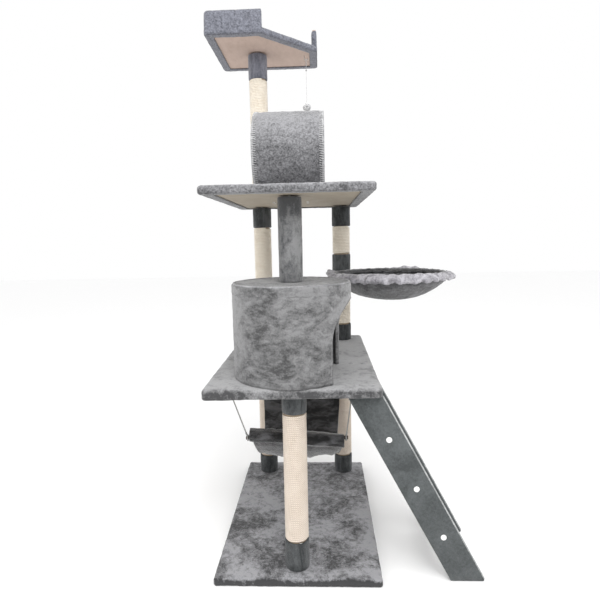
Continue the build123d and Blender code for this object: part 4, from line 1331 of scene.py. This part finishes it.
def pouch_net(columns=260, rows=34):
    net = []
    for r in range(1, rows + 1):
        share = r / rows
        # A full bowl: its side bulges a little past the ring before it turns in to the bottom.
        bulge = 0.04 * math.sin(math.pi * share ** 4)
        radius = ring_radius * (math.sin(share * math.pi / 2) ** 0.85 + bulge)
        depth = pouch_depth - 0.5 * pouch_thickness
        height = basket_level - depth * math.cos(share * math.pi / 2) ** 1.25
        fold_depth = 5.5 * mm * share ** 1.6 * (1 - share ** 8) + 0.9 * mm * share ** 8
        row = []
        for k in range(columns):
            angle = 2 * math.pi * k / columns
            out = np.array((math.cos(angle), math.sin(angle)))
            fold = gather_wave(angle, 2) * fold_depth
            sag = 5 * mm * lumps((*(out * share), 4), 0.5) * (1 - share ** 4)
            place = basket_centre + out * (radius + fold * 0.6)
            row.append((*place, height + abs(sag) + fold * 0.5))
        net.append(row)
    # The top edge rolls outwards over the ring.
    for turn in np.radians((200, 235, 270, 305, 340, 15, 50, 85, 120)):
        row = []
        for k in range(columns):
            angle = 2 * math.pi * k / columns
            out = np.array((math.cos(angle), math.sin(angle)))
            swell = rim_roll - pouch_thickness / 2 + 0.9 * mm * gather_wave(angle, 2)
            place = basket_centre + out * (ring_radius + swell * math.cos(turn))
            row.append((*place, basket_level - swell * math.sin(turn)))
        net.append(row)
    return np.array(net)


net = pouch_net()
lowest = (*basket_centre, net[0, :, 2].mean() - 0.5 * mm)
pouch = net_piece("basket_pouch_plush", net, pouch_plush, "basket", wrap_cols=True, poles=(lowest, None),
                  slot="basket_plush", stands_for=["basket_pouch"])
press_pile(pouch, (2.0, 16), (1.2, 8))
thicken(pouch, pouch_thickness * 0.8)
print("basket pouch:", len(pouch.data.polygons), "faces")

# %% [markdown]
# The frill is a soft ring whose section is drawn once and carried round. Its gathers ripple more the further
# out they are. Its near side droops, its far side stands up a little, and the end beside the post flips up.

# %% Basket frill
post_box = box_of("right_upper_post_low_sisal")
post_centre = middle_of(post_box)
post_room = (post_box[1] - post_box[0]) / 2 + 4 * mm
frill_inner = ring_radius + rim_roll * 0.7
frill_outer = (ruffle_box[1] - ruffle_box[0]) / 2


def frill_reach(angle):
    """How far out the frill goes at an angle: its full width, or up to the post."""
    out = np.array((math.cos(angle), math.sin(angle)))
    to_post = post_centre - basket_centre
    along = to_post @ out
    beside = math.sqrt(max(to_post @ to_post - along ** 2, 0))
    if along < 0 or beside > post_room:
        return frill_outer
    return min(frill_outer, along - math.sqrt(post_room ** 2 - beside ** 2))


def frill_net(columns=480):
    """A soft ring: over its top from the ring outwards, round its free edge and back underneath.
    Each place of the section is how far out it is, and how high, as shares of width and thickness."""
    section = [(0.0, 0.1), (0.04, 0.7), (0.18, 1.05), (0.40, 1.1), (0.62, 0.95), (0.82, 0.72),
               (0.95, 0.38), (1.0, -0.1), (0.97, -0.62), (0.86, -0.95), (0.68, -0.95), (0.48, -0.8),
               (0.26, -0.72), (0.08, -0.5)]
    net = []
    for share, level in section:
        row = []
        for k in range(columns):
            angle = 2 * math.pi * k / columns
            out = np.array((math.cos(angle), math.sin(angle)))
            reach = frill_reach(angle)
            room = (reach - frill_inner) / (frill_outer - frill_inner)
            radius = frill_inner + (reach - frill_inner - 1.5 * mm) * share
            gather = gather_wave(angle, 6)
            loose = lumps((*out, 2), 0.22)
            near = max(0, -out[1])
            droop = -8 * mm - 3 * mm * near
            stand = 20 * mm * math.exp(-((math.degrees(angle) - 62) / 17) ** 2)
            flip = 20 * mm * math.exp(-((math.degrees(angle) - 172) / 13) ** 2)
            thick = (7.0 + 2.5 * near + 2.2 * lumps((*out, 7), 0.3)) * mm * (0.55 + 0.45 * room)
            ridge = 2.6 * mm * gather * math.sin(math.pi * min(1, share * 1.15) * 0.8) * room
            wave = (gather * 2.2 * mm + loose * 4.0 * mm) * room
            height = (basket_level + level * thick + ridge + 4 * mm * near * max(0, level)
                      + (wave + droop + stand + flip) * share)
            ripple = 2.4 * mm * share * (math.cos(gathers * angle + 5 * loose) * room - 1)
            row.append((*(basket_centre + out * (radius + ripple)), height))
        net.append(row)
    return np.array(net)


frill = net_piece("basket_frill_plush", frill_net(), frill_plush, "basket", wrap_rows=True, wrap_cols=True,
                  slot="basket_plush", stands_for=["basket_ruffle"])
press_pile(frill, (3.0, 12), (2.0, 6))

# %% [markdown]
# ## The toy
#
# A fluffy ball hangs under the perch on a thin string, which is tied to a doubled loop on a small hook. The
# ball is a solid core with several hundred short tufts standing out of it, each a thin bent spike. Their
# directions come from a golden angle spiral, which spreads them evenly without any chance.

# %% Toy string and ball
string_box, ball_box = box_of("toy_string"), box_of("toy_ball")
string_foot, string_top = [Vector((*middle_of(string_box), z)) for z in string_box[4:]]
ball_centre = np.array((*middle_of(ball_box), (ball_box[4] + ball_box[5]) / 2))
ball_radius = (ball_box[1] - ball_box[0]) / 2


def fluffy_ball(name, tufts=620, core=0.62):
    points, faces = [], []
    bands, around = 14, 24
    for b in range(1, bands):
        tip = math.pi * b / bands
        for a in range(around):
            turn_round = 2 * math.pi * a / around
            way = np.array((math.sin(tip) * math.cos(turn_round), math.sin(tip) * math.sin(turn_round),
                            math.cos(tip)))
            points.append(ball_centre + way * ball_radius * core * (1 + 0.06 * lumps(way * 2, 0.4)))
    faces += [tuple(reversed(f)) for f in net_faces(bands - 1, around, wrap_cols=True)]
    for sign, start in ((1, 0), (-1, (bands - 2) * around)):
        points.append(ball_centre + np.array((0, 0, sign * ball_radius * core)))
        for a in range(around):
            pair = (start + a, start + (a + 1) % around)
            faces.append((len(points) - 1, *pair) if sign == 1 else (len(points) - 1, *reversed(pair)))
    golden = math.pi * (3 - math.sqrt(5))
    for k in range(tufts):
        z = 1 - 2 * (k + 0.5) / tufts
        flat = math.sqrt(1 - z * z)
        way = np.array((flat * math.cos(golden * k), flat * math.sin(golden * k), z))
        side = np.cross(way, (0.3, 0.2, 1.0))
        side /= np.linalg.norm(side)
        other = np.cross(way, side)
        length = ball_radius * (0.96 - core + 0.10 * lumps(way * 3, 0.3, 5)) * 0.92
        bend = (side * lumps(way * 5, 0.3, 1) + other * lumps(way * 5, 0.3, 2)) * 3.5 * mm
        first = len(points)
        for share, width in ((0, 1.5 * mm), (0.5, 1.2 * mm), (1.0, 0.35 * mm)):
            middle = ball_centre + way * (ball_radius * core * 0.95 + length * share) + bend * share ** 2
            points += around_line(middle, side, other, width, 4)
        faces += net_faces(3, 4, wrap_cols=True, first=first) + end_faces(first, 3, 4)
    return make_piece(name, points, faces, fluff, "toy", slot="toy_fluff", stands_for=["toy_ball"])


ball = fluffy_ball("toy_fluffy_ball")
string = straight_cord("toy_string_line", string_top, string_foot, string_diameter, white_cord, "toy",
                       "toy_string")
print("toy ball:", len(ball.data.polygons), "faces")

# %% [markdown]
# ## Finishes for the parts that are already right
#
# Boards, card tubes, plugs, rods, hooks, bolts, screws and caps keep their own shapes from the frame. Each
# gets the finish of what it is made of, in the one slot of its mesh, except the house's inner drum, which is
# painted near black as the shade inside the house.

# %% Finishes on the frame's own parts
finish_of_slot = {"board": pressed_board, "card": grey_card, "steel": zinc, "white_cap": cap_plastic,
                  "rod_wood": rod_wood, "cord": grey_cord, "toy_cord": white_cord}
slot_of_node = {part["node"]: part["material_slot"] for part in frame["record"]["subparts"]}
# The house's board drum is painted near black, as the shade inside the house.
finish_of_node = {"perch_board": perch_wood, "perch_wall_boards": perch_wood, "house_wall": house_inside_painted_shade}
finished = 0
for node, piece in frame["nodes"].items():
    if piece.hide_render:
        continue
    piece.data.materials.clear()
    piece.data.materials.append(finish_of_node.get(node, finish_of_slot[slot_of_node[node]]))
    finished += 1
print("frame parts with a finish:", finished)
